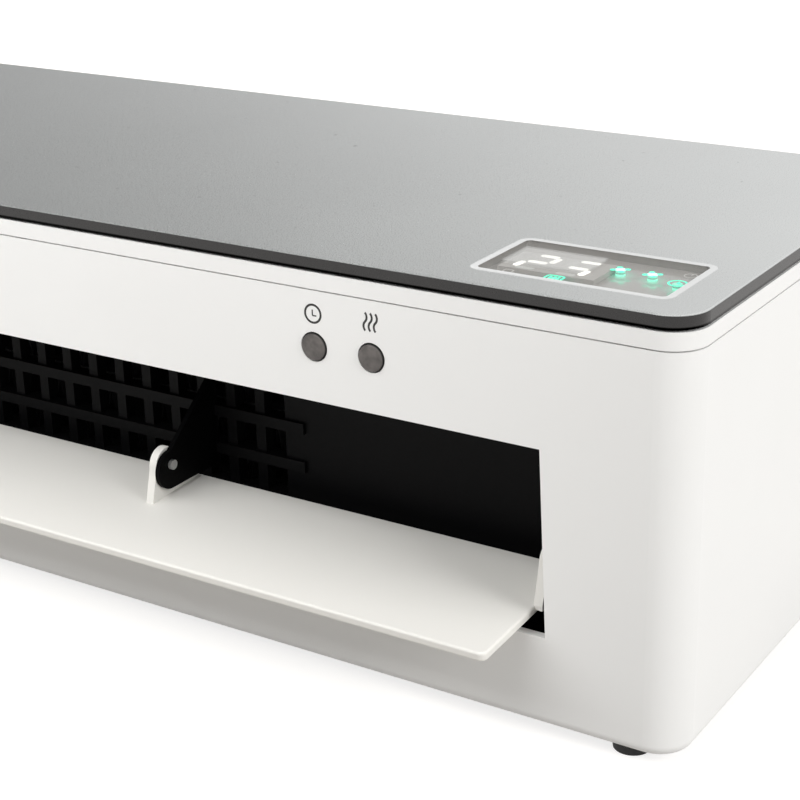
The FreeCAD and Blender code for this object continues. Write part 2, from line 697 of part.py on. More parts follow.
def make_louvre_motor():
    face = DUCT_HALF + DUCT_WALL
    y = PIVOT_Y + LOUVRE_MOTOR_OFFSET
    can = rod_x(face, face + LOUVRE_MOTOR_LENGTH, y, PIVOT_Z, LOUVRE_MOTOR_R)
    parts = [can]
    for z in mirrored(LOUVRE_MOTOR_R + LOUVRE_MOTOR_LUG_R):
        parts.append(rod_x(face, face + LOUVRE_MOTOR_LUG, y, PIVOT_Z + z, LOUVRE_MOTOR_LUG_R))
        parts.append(block(face, face + LOUVRE_MOTOR_LUG, y - LOUVRE_MOTOR_LUG_R, y + LOUVRE_MOTOR_LUG_R,
                           min(PIVOT_Z, PIVOT_Z + z), max(PIVOT_Z, PIVOT_Z + z)))
    motor = joined(parts)
    return motor.cut(rod_x(face - 1, face + DRIVE_SEAT + LOOSE_FIT, PIVOT_Y, PIVOT_Z, DRIVE_R + RUN_FIT))


def make_bracket(x):
    """Arm in an upright plane from the grille to the pivot eye."""
    left = x - BRACKET_THICKNESS / 2
    right = x + BRACKET_THICKNESS / 2
    low = PIVOT_Z - BRACKET_LOW
    middle = low + BRACKET_EYE_R
    arm = [(PIVOT_Y, low), (GRILLE_Y, low), (GRILLE_Y, DUCT_FLOOR + BRACKET_ROOT_HIGH),
           (PIVOT_Y, middle + BRACKET_EYE_R)]
    eye = rod_x(left, right, PIVOT_Y, middle, BRACKET_EYE_R)
    bracket = joined([prism_x(arm, left, right), eye])
    return bracket.cut(rod_x(left - 1, right + 1, PIVOT_Y, PIVOT_Z, PIN_R + RUN_FIT))


def make_duct():
    """Tunnel from the front wall to the grille, deep enough for the louvre to swing in."""
    front = FRONT + WALL
    left = -DUCT_HALF - DUCT_WALL
    right = DUCT_HALF + DUCT_WALL
    low = DUCT_FLOOR - DUCT_WALL
    high = DUCT_TOP + DUCT_WALL
    parts = [block(left, right, front, GRILLE_Y, low, DUCT_FLOOR),
             block(left, right, front, GRILLE_Y, DUCT_TOP, high)]
    for x in (left, DUCT_HALF):
        parts.append(block(x, x + DUCT_WALL, front, GRILLE_Y, low, high))
    duct = joined(parts)
    duct = duct.cut(rod_x(left - 1, -DUCT_HALF + 1, PIVOT_Y, PIVOT_Z, BUSH_R + RUN_FIT / 2))
    return duct.cut(rod_x(DUCT_HALF - 1, right + 1, PIVOT_Y, PIVOT_Z, DRIVE_R + LOOSE_FIT))


def lattice_columns():
    return int((LATTICE_RIGHT - LATTICE_LEFT) / GRILLE_PITCH_X)


def lattice_rows():
    return int((DUCT_TOP - DUCT_FLOOR) / GRILLE_PITCH_Z)


def make_grille():
    left = -DUCT_HALF - DUCT_WALL
    panel = block(left, -left, GRILLE_Y, GRILLE_BACK, DUCT_FLOOR - DUCT_WALL, DUCT_TOP + DUCT_WALL)
    bottom = (DUCT_FLOOR + DUCT_TOP - lattice_rows() * GRILLE_PITCH_Z) / 2 + GRILLE_LIFT
    holes = []
    ribs = []
    for row in range(lattice_rows()):
        z = bottom + (row + 0.5) * GRILLE_PITCH_Z
        half_z = (GRILLE_PITCH_Z - GRILLE_BAR) / 2
        for column in range(lattice_columns()):
            x = LATTICE_RIGHT - (column + 0.5) * GRILLE_PITCH_X
            half_x = (GRILLE_PITCH_X - GRILLE_BAR) / 2
            holes.append(block(x - half_x, x + half_x, GRILLE_Y - 1, GRILLE_BACK + 1, z - half_z, z + half_z))
        if row > 0:
            line = bottom + row * GRILLE_PITCH_Z
            ribs.append(block(LATTICE_LEFT, LATTICE_RIGHT + GRILLE_RIB_RUN, GRILLE_Y - GRILLE_RIB_PROUD,
                              GRILLE_Y + GRILLE_THICKNESS / 2, line - GRILLE_BAR / 2, line + GRILLE_BAR / 2))
    grille = joined([panel.cut(Part.makeCompound(holes))] + ribs)
    for x in mirrored(BRACKET_X):
        half = BRACKET_THICKNESS / 2
        grille = grille.cut(block(x - half, x + half, GRILLE_Y - GRILLE_RIB_PROUD - 1, GRILLE_Y,
                                  DUCT_FLOOR, DUCT_TOP))
    return grille


def heater_bar_levels():
    """Bottom levels of the heater bars, spread over the height of the duct."""
    bars = 3
    free = DUCT_TOP - DUCT_FLOOR - HEATER_BAR_HEIGHT
    return [DUCT_FLOOR + free * k / (bars - 1) for k in range(bars)]


def make_heater_bars():
    left = LATTICE_LEFT - HEATER_BAR_SEAT
    right = LATTICE_RIGHT + HEATER_BAR_SEAT
    return Part.makeCompound([block(left, right, HEATER_Y, HEATER_BACK, z, z + HEATER_BAR_HEIGHT)
                              for z in heater_bar_levels()])


def make_fins():
    """One folded strip between each pair of bars."""
    strips = []
    levels = heater_bar_levels()
    count = int((LATTICE_RIGHT - LATTICE_LEFT) / FIN_PITCH) - 1
    for below, above in zip(levels[:-1], levels[1:]):
        z0 = below + HEATER_BAR_HEIGHT
        z1 = above - FIN_SHEET
        upper = []
        lower = []
        for k in range(count + 1):
            x = LATTICE_LEFT + k * FIN_PITCH + FIN_SHEET
            z = z0 if k % 2 == 0 else z1
            lower.append(FreeCAD.Vector(x, HEATER_Y, z))
            upper.append(FreeCAD.Vector(x, HEATER_Y, z + FIN_SHEET))
        ring = lower + upper[::-1]
        face = Part.Face(Part.makePolygon(ring + ring[:1]))
        strips.append(face.extrude(FreeCAD.Vector(0, HEATER_DEPTH, 0)))
    return Part.makeCompound(strips)


def make_holder(x0, x1):
    holder = block(x0, x1, GRILLE_BACK, HEATER_BACK + HOLDER_BACK, DUCT_FLOOR, DUCT_TOP)
    return holder.cut(make_heater_bars())


def make_cutout():
    x = LATTICE_RIGHT - GRILLE_PITCH_X * 2
    seat = DUCT_TOP + SCROLL_SHEET
    return rod_z(x, HEATER_Y + HEATER_DEPTH / 2, seat, seat + CUTOUT_HEIGHT, CUTOUT_R)


def scroll_radius():
    return FAN_R + SCROLL_GAP


def make_scroll():
    """Floor behind the grille that runs into an arc below and behind the fan."""
    inner = scroll_radius()
    start = 180.0 + math.degrees(math.asin((FAN_Z - DUCT_FLOOR) / inner))
    shell = rod_x(AIR_LEFT, AIR_RIGHT, FAN_Y, FAN_Z, inner + SCROLL_SHEET)
    shell = shell.cut(rod_x(AIR_LEFT - 1, AIR_RIGHT + 1, FAN_Y, FAN_Z, inner))
    far = 3 * inner
    steps = 12
    sweep = [(FAN_Y, FAN_Z)]
    for k in range(steps + 1):
        angle = math.radians(start + (SCROLL_REAR_ANGLE - start) * k / steps)
        sweep.append((FAN_Y + far * math.cos(angle), FAN_Z + far * math.sin(angle)))
    arc = shell.common(prism_x(sweep, AIR_LEFT, AIR_RIGHT))
    reach = FAN_Y + inner * math.cos(math.radians(start))
    floor = block(AIR_LEFT, AIR_RIGHT, GRILLE_BACK, reach, DUCT_FLOOR - SCROLL_SHEET, DUCT_FLOOR)
    return joined([arc, floor])


def make_fan_tongue():
    """Roof behind the grille that ends in a lip close to the fan."""
    clear = FAN_R + TONGUE_GAP
    level = min(DUCT_TOP - FAN_Z, clear)
    end = FAN_Y - max(scroll_radius() * math.cos(math.radians(45)), math.sqrt(clear ** 2 - level ** 2))
    roof = block(AIR_LEFT, AIR_RIGHT, GRILLE_BACK, end, DUCT_TOP, DUCT_TOP + SCROLL_SHEET)
    lip = block(AIR_LEFT, AIR_RIGHT, end - SCROLL_SHEET, end, DUCT_TOP, DUCT_TOP + SCROLL_SHEET + TONGUE_LIP)
    return joined([roof, lip])


def make_impeller():
    parts = []
    step = (FAN_RIGHT - FAN_LEFT - FAN_DISC_THICKNESS) / (FAN_DISCS - 1)
    for k in range(FAN_DISCS):
        x = FAN_LEFT + k * step
        disc = rod_x(x, x + FAN_DISC_THICKNESS, FAN_Y, FAN_Z, FAN_R)
        if 0 < k < FAN_DISCS - 1:
            disc = disc.cut(rod_x(x - 1, x + FAN_DISC_THICKNESS + 1, FAN_Y, FAN_Z, FAN_INNER_R))
        parts.append(disc)
    for k in range(FAN_BLADES):
        half = FAN_BLADE_SHEET / 2
        blade = block(FAN_LEFT, FAN_RIGHT, -half, half, 0, FAN_R - FAN_INNER_R - 0.4)
        blade.rotate(FreeCAD.Vector(0, 0, 0), X_AXIS, FAN_BLADE_LEAN)
        blade.translate(FreeCAD.Vector(0, 0, FAN_INNER_R))
        blade.rotate(FreeCAD.Vector(0, 0, 0), X_AXIS, 360.0 * k / FAN_BLADES)
        blade.translate(FreeCAD.Vector(0, FAN_Y, FAN_Z))
        parts.append(blade)
    parts.append(rod_x(FAN_RIGHT - FAN_HUB_LENGTH, FAN_RIGHT, FAN_Y, FAN_Z, FAN_HUB_R))
    stub_end = AIR_LEFT - BEARING_LENGTH
    parts.append(rod_x(stub_end, FAN_LEFT + FAN_DISC_THICKNESS, FAN_Y, FAN_Z, SHAFT_R))
    impeller = joined(parts)
    bore = SHAFT_R + RUN_FIT / 2
    return impeller.cut(rod_x(FAN_RIGHT - FAN_HUB_LENGTH - 1, FAN_RIGHT + 1, FAN_Y, FAN_Z, bore))


def make_motor_shaft():
    return rod_x(FAN_RIGHT - FAN_HUB_LENGTH, MOTOR_X + MOTOR_LENGTH + SHAFT_TAIL, FAN_Y, FAN_Z, SHAFT_R)


def make_rotor():
    left = MOTOR_X + MOTOR_CAN + ROTOR_END_GAP
    right = MOTOR_X + MOTOR_LENGTH - MOTOR_CAN - ROTOR_END_GAP
    rotor = rod_x(left, right, FAN_Y, FAN_Z, ROTOR_R)
    return rotor.cut(rod_x(left - 1, right + 1, FAN_Y, FAN_Z, SHAFT_R + RUN_FIT / 2))


def make_motor():
    right = MOTOR_X + MOTOR_LENGTH
    can = rod_x(MOTOR_X, right, FAN_Y, FAN_Z, MOTOR_R)
    half = MOTOR_BOLT_SPAN / 2 + GROMMET_R
    flange = block(MOTOR_X, MOTOR_X + MOTOR_FLANGE, FAN_Y - half, FAN_Y + half, FAN_Z - half, FAN_Z + half)
    motor = joined([can, flange])
    motor = motor.cut(rod_x(MOTOR_X + MOTOR_CAN, right - MOTOR_CAN, FAN_Y, FAN_Z, MOTOR_R - MOTOR_CAN))
    motor = motor.cut(rod_x(MOTOR_X - 1, right + 1, FAN_Y, FAN_Z, SHAFT_R + RUN_FIT))
    for y, z in motor_bolt_places():
        motor = motor.cut(rod_x(MOTOR_X - 1, MOTOR_X + MOTOR_FLANGE + 1, y, z, SCREW_R + RUN_FIT))
    return motor


def make_grommets():
    rings = []
    for y, z in motor_bolt_places():
        ring = rod_x(MOTOR_X - GROMMET_LENGTH, MOTOR_X, y, z, GROMMET_R)
        rings.append(ring.cut(rod_x(MOTOR_X - GROMMET_LENGTH - 1, MOTOR_X + 1, y, z, SCREW_R + RUN_FIT)))
    return Part.makeCompound(rings)


def make_motor_screws():
    screws = []
    head = MOTOR_X + MOTOR_FLANGE
    for y, z in motor_bolt_places():
        shank = rod_x(AIR_RIGHT, head, y, z, SCREW_R)
        screws.append(joined([shank, rod_x(head, head + SCREW_HEAD_HEIGHT, y, z, SCREW_HEAD_R)]))
    return Part.makeCompound(screws)


def end_plate(x, side):
    """Upright plate on the end of the scroll, with a foot turned away from the fan."""
    back = x + side * PLATE_SHEET
    foot = x + side * (PLATE_SHEET + FLANGE_RUN)
    y0 = FAN_Y - PLATE_HALF_WIDTH
    y1 = FAN_Y + PLATE_HALF_WIDTH
    upright = block(min(x, back), max(x, back), y0, y1, STAND_TOP, FAN_Z + PLATE_TOP_RISE)
    flange = block(min(x, foot), max(x, foot), y0, y1, STAND_TOP, STAND_TOP + PLATE_SHEET)
    plate = joined([upright, flange])
    for px, py in plate_screw_places():
        plate = plate.cut(rod_z(px, py, STAND_TOP - 1, STAND_TOP + PLATE_SHEET + 1, SCREW_R + RUN_FIT))
    return plate


def make_motor_bracket():
    plate = end_plate(AIR_RIGHT, 1)
    plate = plate.cut(rod_x(AIR_RIGHT - 1, AIR_RIGHT + PLATE_SHEET + 1, FAN_Y, FAN_Z, PLATE_HOLE_R))
    for y, z in motor_bolt_places():
        plate = plate.cut(rod_x(AIR_RIGHT - 1, AIR_RIGHT + PLATE_SHEET + 1, y, z, SCREW_R + RUN_FIT))
    return plate


def make_bearing_plate():
    plate = end_plate(AIR_LEFT, -1)
    return plate.cut(rod_x(AIR_LEFT - PLATE_SHEET - 1, AIR_LEFT + 1, FAN_Y, FAN_Z, BEARING_R + RUN_FIT / 2))


def make_bearing():
    left = AIR_LEFT - BEARING_LENGTH + LOOSE_FIT
    flange_right = AIR_LEFT - PLATE_SHEET
    body = rod_x(left, AIR_LEFT, FAN_Y, FAN_Z, BEARING_R)
    flange = rod_x(flange_right - BEARING_FLANGE, flange_right, FAN_Y, FAN_Z, BEARING_FLANGE_R)
    bearing = joined([body, flange])
    return bearing.cut(rod_x(left - 1, AIR_LEFT + 1, FAN_Y, FAN_Z, SHAFT_R + RUN_FIT))


def make_plate_screws():
    return standing_screws(plate_screw_places(), STAND_TOP + PLATE_SHEET)


def make_board_screws():
    return standing_screws(power_board_places(), STAND_TOP + BOARD_THICKNESS)


def standing_screws(places, seat):
    """Screws driven down into the stand-offs, with their heads on a seat level."""
    screws = []
    for x, y in places:
        shank = rod_z(x, y, seat - BOARD_SCREW_LENGTH, seat, SCREW_R)
        screws.append(joined([shank, rod_z(x, y, seat, seat + SCREW_HEAD_HEIGHT, SCREW_HEAD_R)]))
    return Part.makeCompound(screws)


def make_power_board():
    y = FRONT + POWER_BOARD_FRONT
    board = block(POWER_X, POWER_X + POWER_BOARD_LENGTH, y, y + POWER_BOARD_DEPTH,
                  STAND_TOP, STAND_TOP + BOARD_THICKNESS)
    for px, py in power_board_places():
        board = board.cut(rod_z(px, py, STAND_TOP - 1, STAND_TOP + BOARD_THICKNESS + 1, SCREW_R + RUN_FIT))
    return board


def make_relays():
    y = FRONT + POWER_BOARD_FRONT + POWER_BOARD_DEPTH / 2
    x = POWER_X + POWER_BOARD_LENGTH / 2
    z = STAND_TOP + BOARD_THICKNESS
    return Part.makeCompound([slab(x + step, y, z, RELAY_SIZE) for step in mirrored(RELAY_STEP / 2)])


def make_terminal_block():
    y = FRONT + POWER_BOARD_FRONT + TERMINAL_SIZE[1]
    return slab(POWER_X + POWER_BOARD_LENGTH / 2, y, STAND_TOP + BOARD_THICKNESS, TERMINAL_SIZE)


def make_room_sensor():
    return slab(LATTICE_RIGHT + SENSOR_SIDE_GAP, BACK - WALL - SENSOR_SIZE[1] / 2, INTAKE_Z, SENSOR_SIZE)


def make_switch_body():
    """Shell of the rocker switch: a bezel outside the wall and an open box inside it."""
    bezel_y, bezel_z = ROCKER_BEZEL
    hole_y, hole_z = ROCKER_HOLE
    inner_y = ROCKER_PADDLE[0] / 2 + LOOSE_FIT
    inner_z = ROCKER_PADDLE[1] / 2 + LOOSE_FIT
    out = -HALF - ROCKER_BEZEL_PROUD
    bottom = -HALF + ROCKER_BODY
    bezel = block(out, -HALF, ROCKER_Y - bezel_y / 2, ROCKER_Y + bezel_y / 2,
                  ROCKER_Z - bezel_z / 2, ROCKER_Z + bezel_z / 2)
    tuck = hole_y / 2 - RUN_FIT
    tuck_z = hole_z / 2 - RUN_FIT
    box = block(-HALF, bottom, ROCKER_Y - tuck, ROCKER_Y + tuck, ROCKER_Z - tuck_z, ROCKER_Z + tuck_z)
    shell = joined([bezel, box])
    shell = shell.cut(block(out - 1, bottom - ROCKER_SHELL, ROCKER_Y - inner_y, ROCKER_Y + inner_y,
                            ROCKER_Z - inner_z, ROCKER_Z + inner_z))
    return shell.cut(rod_z(rocker_pin_x(), ROCKER_Y, ROCKER_Z - tuck_z - 1, ROCKER_Z + tuck_z + 1,
                           ROCKER_PIN_R + RUN_FIT))


def rocker_pin_x():
    return -HALF - ROCKER_BEZEL_PROUD + ROCKER_PIN_DROP


def make_rocker():
    """Paddle with two flats that meet in a shallow V, resting on its pressed end."""
    half_y = ROCKER_PADDLE[0] / 2 - ROCKER_SWING_ROOM
    half_z = ROCKER_PADDLE[1] / 2
    top = -ROCKER_PIN_DROP - ROCKER_RISE_OUT
    corners = [(top, -half_y), (top + ROCKER_V, 0), (top, half_y), (-ROCKER_V, half_y),
               (ROCKER_SKIRT, ROCKER_SKIRT / 2), (ROCKER_SKIRT, -ROCKER_SKIRT / 2), (-ROCKER_V, -half_y)]
    points = [FreeCAD.Vector(x, y, -half_z) for x, y in corners]
    face = Part.Face(Part.makePolygon(points + points[:1]))
    paddle = face.extrude(FreeCAD.Vector(0, 0, 2 * half_z))
    reach = ROCKER_HOLE[1] / 2 - RUN_FIT
    paddle = joined([paddle, rod_z(0, 0, -reach, reach, ROCKER_PIN_R)])
    paddle.rotate(FreeCAD.Vector(0, 0, 0), Z_AXIS, ROCKER_REST)
    paddle.translate(FreeCAD.Vector(rocker_pin_x(), ROCKER_Y, ROCKER_Z))
    return paddle


def gland_neck(grow, x0, x1):
    """Square neck, so that the gland can't turn in the wall."""
    half = GLAND_NECK / 2 + grow
    return block(x0, x1, GLAND_Y - half, GLAND_Y + half, GLAND_Z - half, GLAND_Z + half)


def make_gland():
    outer = rod_x(-HALF - GLAND_FLANGE, -HALF, GLAND_Y, GLAND_Z, GLAND_FLANGE_R)
    gland = joined([outer, gland_neck(0, -HALF, -HALF + WALL + GLAND_TAIL)])
    tail = -HALF + WALL + GLAND_TAIL
    return gland.cut(rod_x(-HALF - GLAND_FLANGE - 1, tail + 1, GLAND_Y, GLAND_Z, GLAND_BORE_R))


def make_feet():
    return Part.makeCompound([Part.makeCone(FOOT_SOLE_R, FOOT_TOP_R, FOOT_HEIGHT, FreeCAD.Vector(x, y, 0))
                              for x, y in foot_places()])


def make_cover_screws():
    screws = []
    seat = boss_split() - BOSS_LEDGE
    for x, y in cover_screw_places():
        shank = rod_z(x, y, seat, seat + COVER_SCREW_LENGTH, SCREW_R)
        screws.append(joined([shank, rod_z(x, y, seat - SCREW_HEAD_HEIGHT, seat, SCREW_HEAD_R)]))
    return Part.makeCompound(screws)


def make_filter():
    x0 = LATTICE_LEFT - FILTER_MARGIN
    x1 = LATTICE_RIGHT + FILTER_MARGIN
    half = SLOT_HEIGHT + SLOT_ROW_GAP / 2 + INTAKE_MARGIN + FILTER_MARGIN
    sheet = block(x0, x1, BACK - WALL - FILTER_THICKNESS, BACK - WALL, INTAKE_Z - half, INTAKE_Z + half)
    columns = int((x1 - x0 - FILTER_BAR) / FILTER_PITCH)
    rows = int((2 * half - FILTER_BAR) / FILTER_PITCH)
    opening = (FILTER_PITCH - FILTER_BAR) / 2
    holes = []
    for column in range(columns):
        x = (x0 + x1) / 2 + (column - (columns - 1) / 2) * FILTER_PITCH
        for row in range(rows):
            z = INTAKE_Z + (row - (rows - 1) / 2) * FILTER_PITCH
            holes.append(block(x - opening, x + opening, BACK - WALL - FILTER_THICKNESS - 1, BACK - WALL + 1,
                               z - opening, z + opening))
    return sheet.cut(Part.makeCompound(holes))


def make_all():
    return {
        "main_housing": make_housing(),
        "rear_cover": make_rear_cover(),
        "intake_grille": make_intake_grille(),
        "front_cover": make_cover(),
        "glass_panel": make_glass(),
        "panel_gasket": make_gasket(),
        "display_bezel": make_bezel(),
        "display_lens": make_lens(),
        "display_tray": make_tray(),
        "digit_module": make_digits(),
        "icon_light_pipes": make_icon_pipes(),
        "display_board": make_display_board(),
        "remote_receiver": make_receiver(),
        "timer_button": make_button(TIMER_X),
        "function_button": make_button(FUNCTION_X),
        "button_switches": make_switches(),
        "button_board": make_button_board(),
        "louvre": make_louvre(),
        "louvre_pins": make_pins(),
        "louvre_bush": make_bush(),
        "louvre_drive_shaft": make_drive_shaft(),
        "louvre_motor": make_louvre_motor(),
        "louvre_bracket_left": make_bracket(-BRACKET_X),
        "louvre_bracket_right": make_bracket(BRACKET_X),
        "outlet_duct": make_duct(),
        "outlet_grille": make_grille(),
        "heater_bars": make_heater_bars(),
        "heater_fins": make_fins(),
        "heater_holder_left": make_holder(AIR_LEFT, LATTICE_LEFT),
        "heater_holder_right": make_holder(LATTICE_RIGHT, AIR_RIGHT),
        "thermal_cutout": make_cutout(),
        "fan_scroll": make_scroll(),
        "fan_tongue": make_fan_tongue(),
        "fan_impeller": make_impeller(),
        "motor_shaft": make_motor_shaft(),
        "motor_rotor": make_rotor(),
        "fan_motor": make_motor(),
        "motor_grommets": make_grommets(),
        "motor_screws": make_motor_screws(),
        "motor_bracket": make_motor_bracket(),
        "bearing_plate": make_bearing_plate(),
        "fan_bearing": make_bearing(),
        "plate_screws": make_plate_screws(),
        "power_board": make_power_board(),
        "board_screws": make_board_screws(),
        "relays": make_relays(),
        "terminal_block": make_terminal_block(),
        "room_sensor": make_room_sensor(),
        "power_switch_body": make_switch_body(),
        "power_rocker": make_rocker(),
        "mains_gland": make_gland(),
        "rubber_feet": make_feet(),
        "cover_screws": make_cover_screws(),
        "intake_filter": make_filter(),
    }


os.makedirs("parts", exist_ok=True)
for name, shape in make_all().items():
    shape.exportStep("parts/" + name + ".step")
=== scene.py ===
"""A wall fan heater on its back: finishes, printed marks, display and stage, built round its frame."""

import math

import bpy
from bpy.props import FloatProperty, FloatVectorProperty, PointerProperty, StringProperty
from mathutils import Matrix, Vector


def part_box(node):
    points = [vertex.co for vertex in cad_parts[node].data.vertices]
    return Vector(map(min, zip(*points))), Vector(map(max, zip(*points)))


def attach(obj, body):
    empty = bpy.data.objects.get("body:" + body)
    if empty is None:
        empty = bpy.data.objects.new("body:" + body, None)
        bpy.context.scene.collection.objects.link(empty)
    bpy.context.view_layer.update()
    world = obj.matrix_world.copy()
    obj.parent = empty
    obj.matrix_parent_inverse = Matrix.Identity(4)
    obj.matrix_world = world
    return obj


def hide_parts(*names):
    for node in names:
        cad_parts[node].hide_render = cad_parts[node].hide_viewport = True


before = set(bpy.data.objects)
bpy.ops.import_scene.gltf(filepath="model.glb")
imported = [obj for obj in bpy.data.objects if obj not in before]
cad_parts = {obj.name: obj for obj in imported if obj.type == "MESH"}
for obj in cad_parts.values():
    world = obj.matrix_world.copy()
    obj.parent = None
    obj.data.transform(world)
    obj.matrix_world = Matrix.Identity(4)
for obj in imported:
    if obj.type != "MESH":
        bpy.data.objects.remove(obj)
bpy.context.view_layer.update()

bl_info = {
    "name": "Wall fan heater",
    "version": (1, 0, 0),
    "blender": (4, 5, 0),
    "location": "View3D > Sidebar > Heater",
    "description": "Finishes, marks, display and stage of a wall fan heater",
    "category": "Object",
}

MM = 0.001

# Places that come from the frame
FRONT_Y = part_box("main_housing")[0].y
GLASS_LOW, GLASS_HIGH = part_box("glass_panel")
LENS_LOW, LENS_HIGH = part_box("display_lens")
DIGIT_LOW, DIGIT_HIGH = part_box("digit_module")
PIPE_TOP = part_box("icon_light_pipes")[1].z
SWITCH_LOW, SWITCH_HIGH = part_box("power_switch_body")
WINDOW = (LENS_LOW + LENS_HIGH) / 2
BUTTON_BOXES = {"timer_body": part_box("timer_button"), "function_body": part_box("function_button")}

# Places of the icons under the window, from its middle
FAN_ICONS = ((6.1 * MM, 2.7 * MM), (14.7 * MM, 2.7 * MM))
CLOCK_ICON = (22.9 * MM, -0.9 * MM)
FRAME_ICON = (-5.1 * MM, -11.1 * MM)
TAB_OUTLINE = (-17.7 * MM, -11.2 * MM)
RING_OUTLINE = (23.3 * MM, 6.0 * MM)
FILM_CORNERS = ((-22.9 * MM, -5.0 * MM), (-0.1 * MM, 8.3 * MM))

# Sizes of the icons and marks
HUB_RADIUS = 1.4 * MM
PETAL_RADIUS = 0.8 * MM
PETAL_REACH = 1.8 * MM
PETAL_TURN = math.radians(30)
DIAL_RADIUS = 2.2 * MM
LONG_HAND = 1.3 * MM
SHORT_HAND = 1.0 * MM
BORDER_SIZE = (5.0 * MM, 4.2 * MM)
BORDER_CORNER = 1.0 * MM
RIB_PITCH = 1.1 * MM
RIB_HALF = 1.1 * MM
RING_RADIUS = 1.6 * MM
NOTCH_FOOT = 0.4 * MM
TAB_SIZE = (2.6 * MM, 2.2 * MM)
TAB_CORNER = 0.5 * MM
WAVE_PITCH = 1.55 * MM
ON_HALF = 1.5 * MM
OFF_RADIUS = 1.3 * MM
ROCKER_LINE = 0.5 * MM
SEGMENT_RELIEF = 0.08 * MM
ICON_RELIEF = 0.06 * MM
CLEARANCE = 0.01 * MM

# The rocker's paddle: its pin behind the switch's face, its slopes and how it leans at rest
PADDLE_PIN_DROP = 5.5 * MM
PADDLE_RISE = 6.7 * MM
PADDLE_VALLEY = 1.5 * MM
PADDLE_HALF = 6.8 * MM
PADDLE_REST = math.radians(9)

# Segments of a digit, as (place across, place along, lies across) in shares of the digit's half size
SEGMENTS = {
    "top": (0.0, 1.0, True),
    "upper_right": (1.0, 0.5, False),
    "lower_right": (1.0, -0.5, False),
    "bottom": (0.0, -1.0, True),
    "lower_left": (-1.0, -0.5, False),
    "upper_left": (-1.0, 0.5, False),
    "middle": (0.0, 0.0, True),
}
DIGIT_SEGMENTS = {
    "2": ("top", "upper_right", "middle", "lower_left", "bottom"),
    "5": ("top", "upper_left", "middle", "lower_right", "bottom"),
}
FAINT_SEGMENTS = ("bottom", "upper_left")

# Span in which most of a noise's values lie, and the width of the patches that colours drift over
NOISE_SPAN = (0.3, 0.7)
DRIFT_SCALE = 14.0

# Light of the icons: how far it spreads, and its bands down a light pipe as (depth, level)
SPILL_REACH = 5.5 * MM
PIPE_DEPTH = 1.4 * MM
PIPE_BANDS = ((0.0, 1.0), (0.42, 1.0), (0.5, 0.2), (0.62, 0.2), (0.7, 0.7), (1.0, 0.7))

# Stage: the floor, and the surroundings that reflections see, darker with height up to a level
FLOOR_SIZE = 24
FLOOR_COLOUR = (0.39, 0.372, 0.35)
FLOOR_GLOW = 0.76
SKY_LEVEL = 0.31
SKY_SLOPE = (2.4, 0.0, -4.6)
SKY_SPAN = (-2.84, -2.0)
SKY_RANGE = (0.112, 0.8)


def colour_value(name, description, default):
    return FloatVectorProperty(name=name, description=description, subtype="COLOR", default=default,
                               min=0, max=1)


def length_value(name, description, default):
    return FloatProperty(name=name, description=description, unit="LENGTH", default=default)


def power_value(name, description, watts):
    return FloatProperty(name=name, description=description, default=watts)


def angle_value(name, description, degrees):
    return FloatProperty(name=name, description=description, subtype="ANGLE", default=math.radians(degrees))


class HeaterFinish(bpy.types.PropertyGroup):
    """Colours of the finishes."""

    white: colour_value("White plastic", "Housing, cover and louvre", (0.84, 0.838, 0.825))
    silver: colour_value("Panel paint", "Silver-grey paint behind the glass", (0.772, 0.792, 0.780))
    glass_edge: colour_value("Glass edge", "Dark edge of the glass panel", (0.013, 0.012, 0.012))
    bezel: colour_value("Bezel line", "Pale line round the display", (0.62, 0.625, 0.62))
    bezel_wall: colour_value("Bezel wall", "Walls below the pale line", (0.20, 0.19, 0.175))
    window: colour_value("Window", "Haze of the clear window", (0.72, 0.72, 0.70))
    tray: colour_value("Display tray", "Tray behind the window", (0.33, 0.317, 0.297))
    block: colour_value("Digit block", "Block that carries the digits", (0.46, 0.45, 0.43))
    pipe: colour_value("Light pipe", "Plastic of the light pipes", (0.22, 0.26, 0.24))
    button: colour_value("Buttons", "Grey button caps", (0.093, 0.084, 0.079))
    ink: colour_value("Ink", "Printed marks on the front", (0.022, 0.021, 0.020))
    black: colour_value("Black plastic", "Duct, grille and brackets", (0.002, 0.002, 0.0022))
    glow_white: colour_value("Digit light", "Light of the digits", (1.0, 0.985, 0.93))
    glow_faint: colour_value("Faint light", "Light of the faint segments", (0.40, 0.40, 0.38))
    glow_green: colour_value("Icon light", "Light of the icons", (0.05, 0.78, 0.48))
    unlit: colour_value("Unlit icons", "Lines of the icons that are not lit", (0.42, 0.41, 0.39))


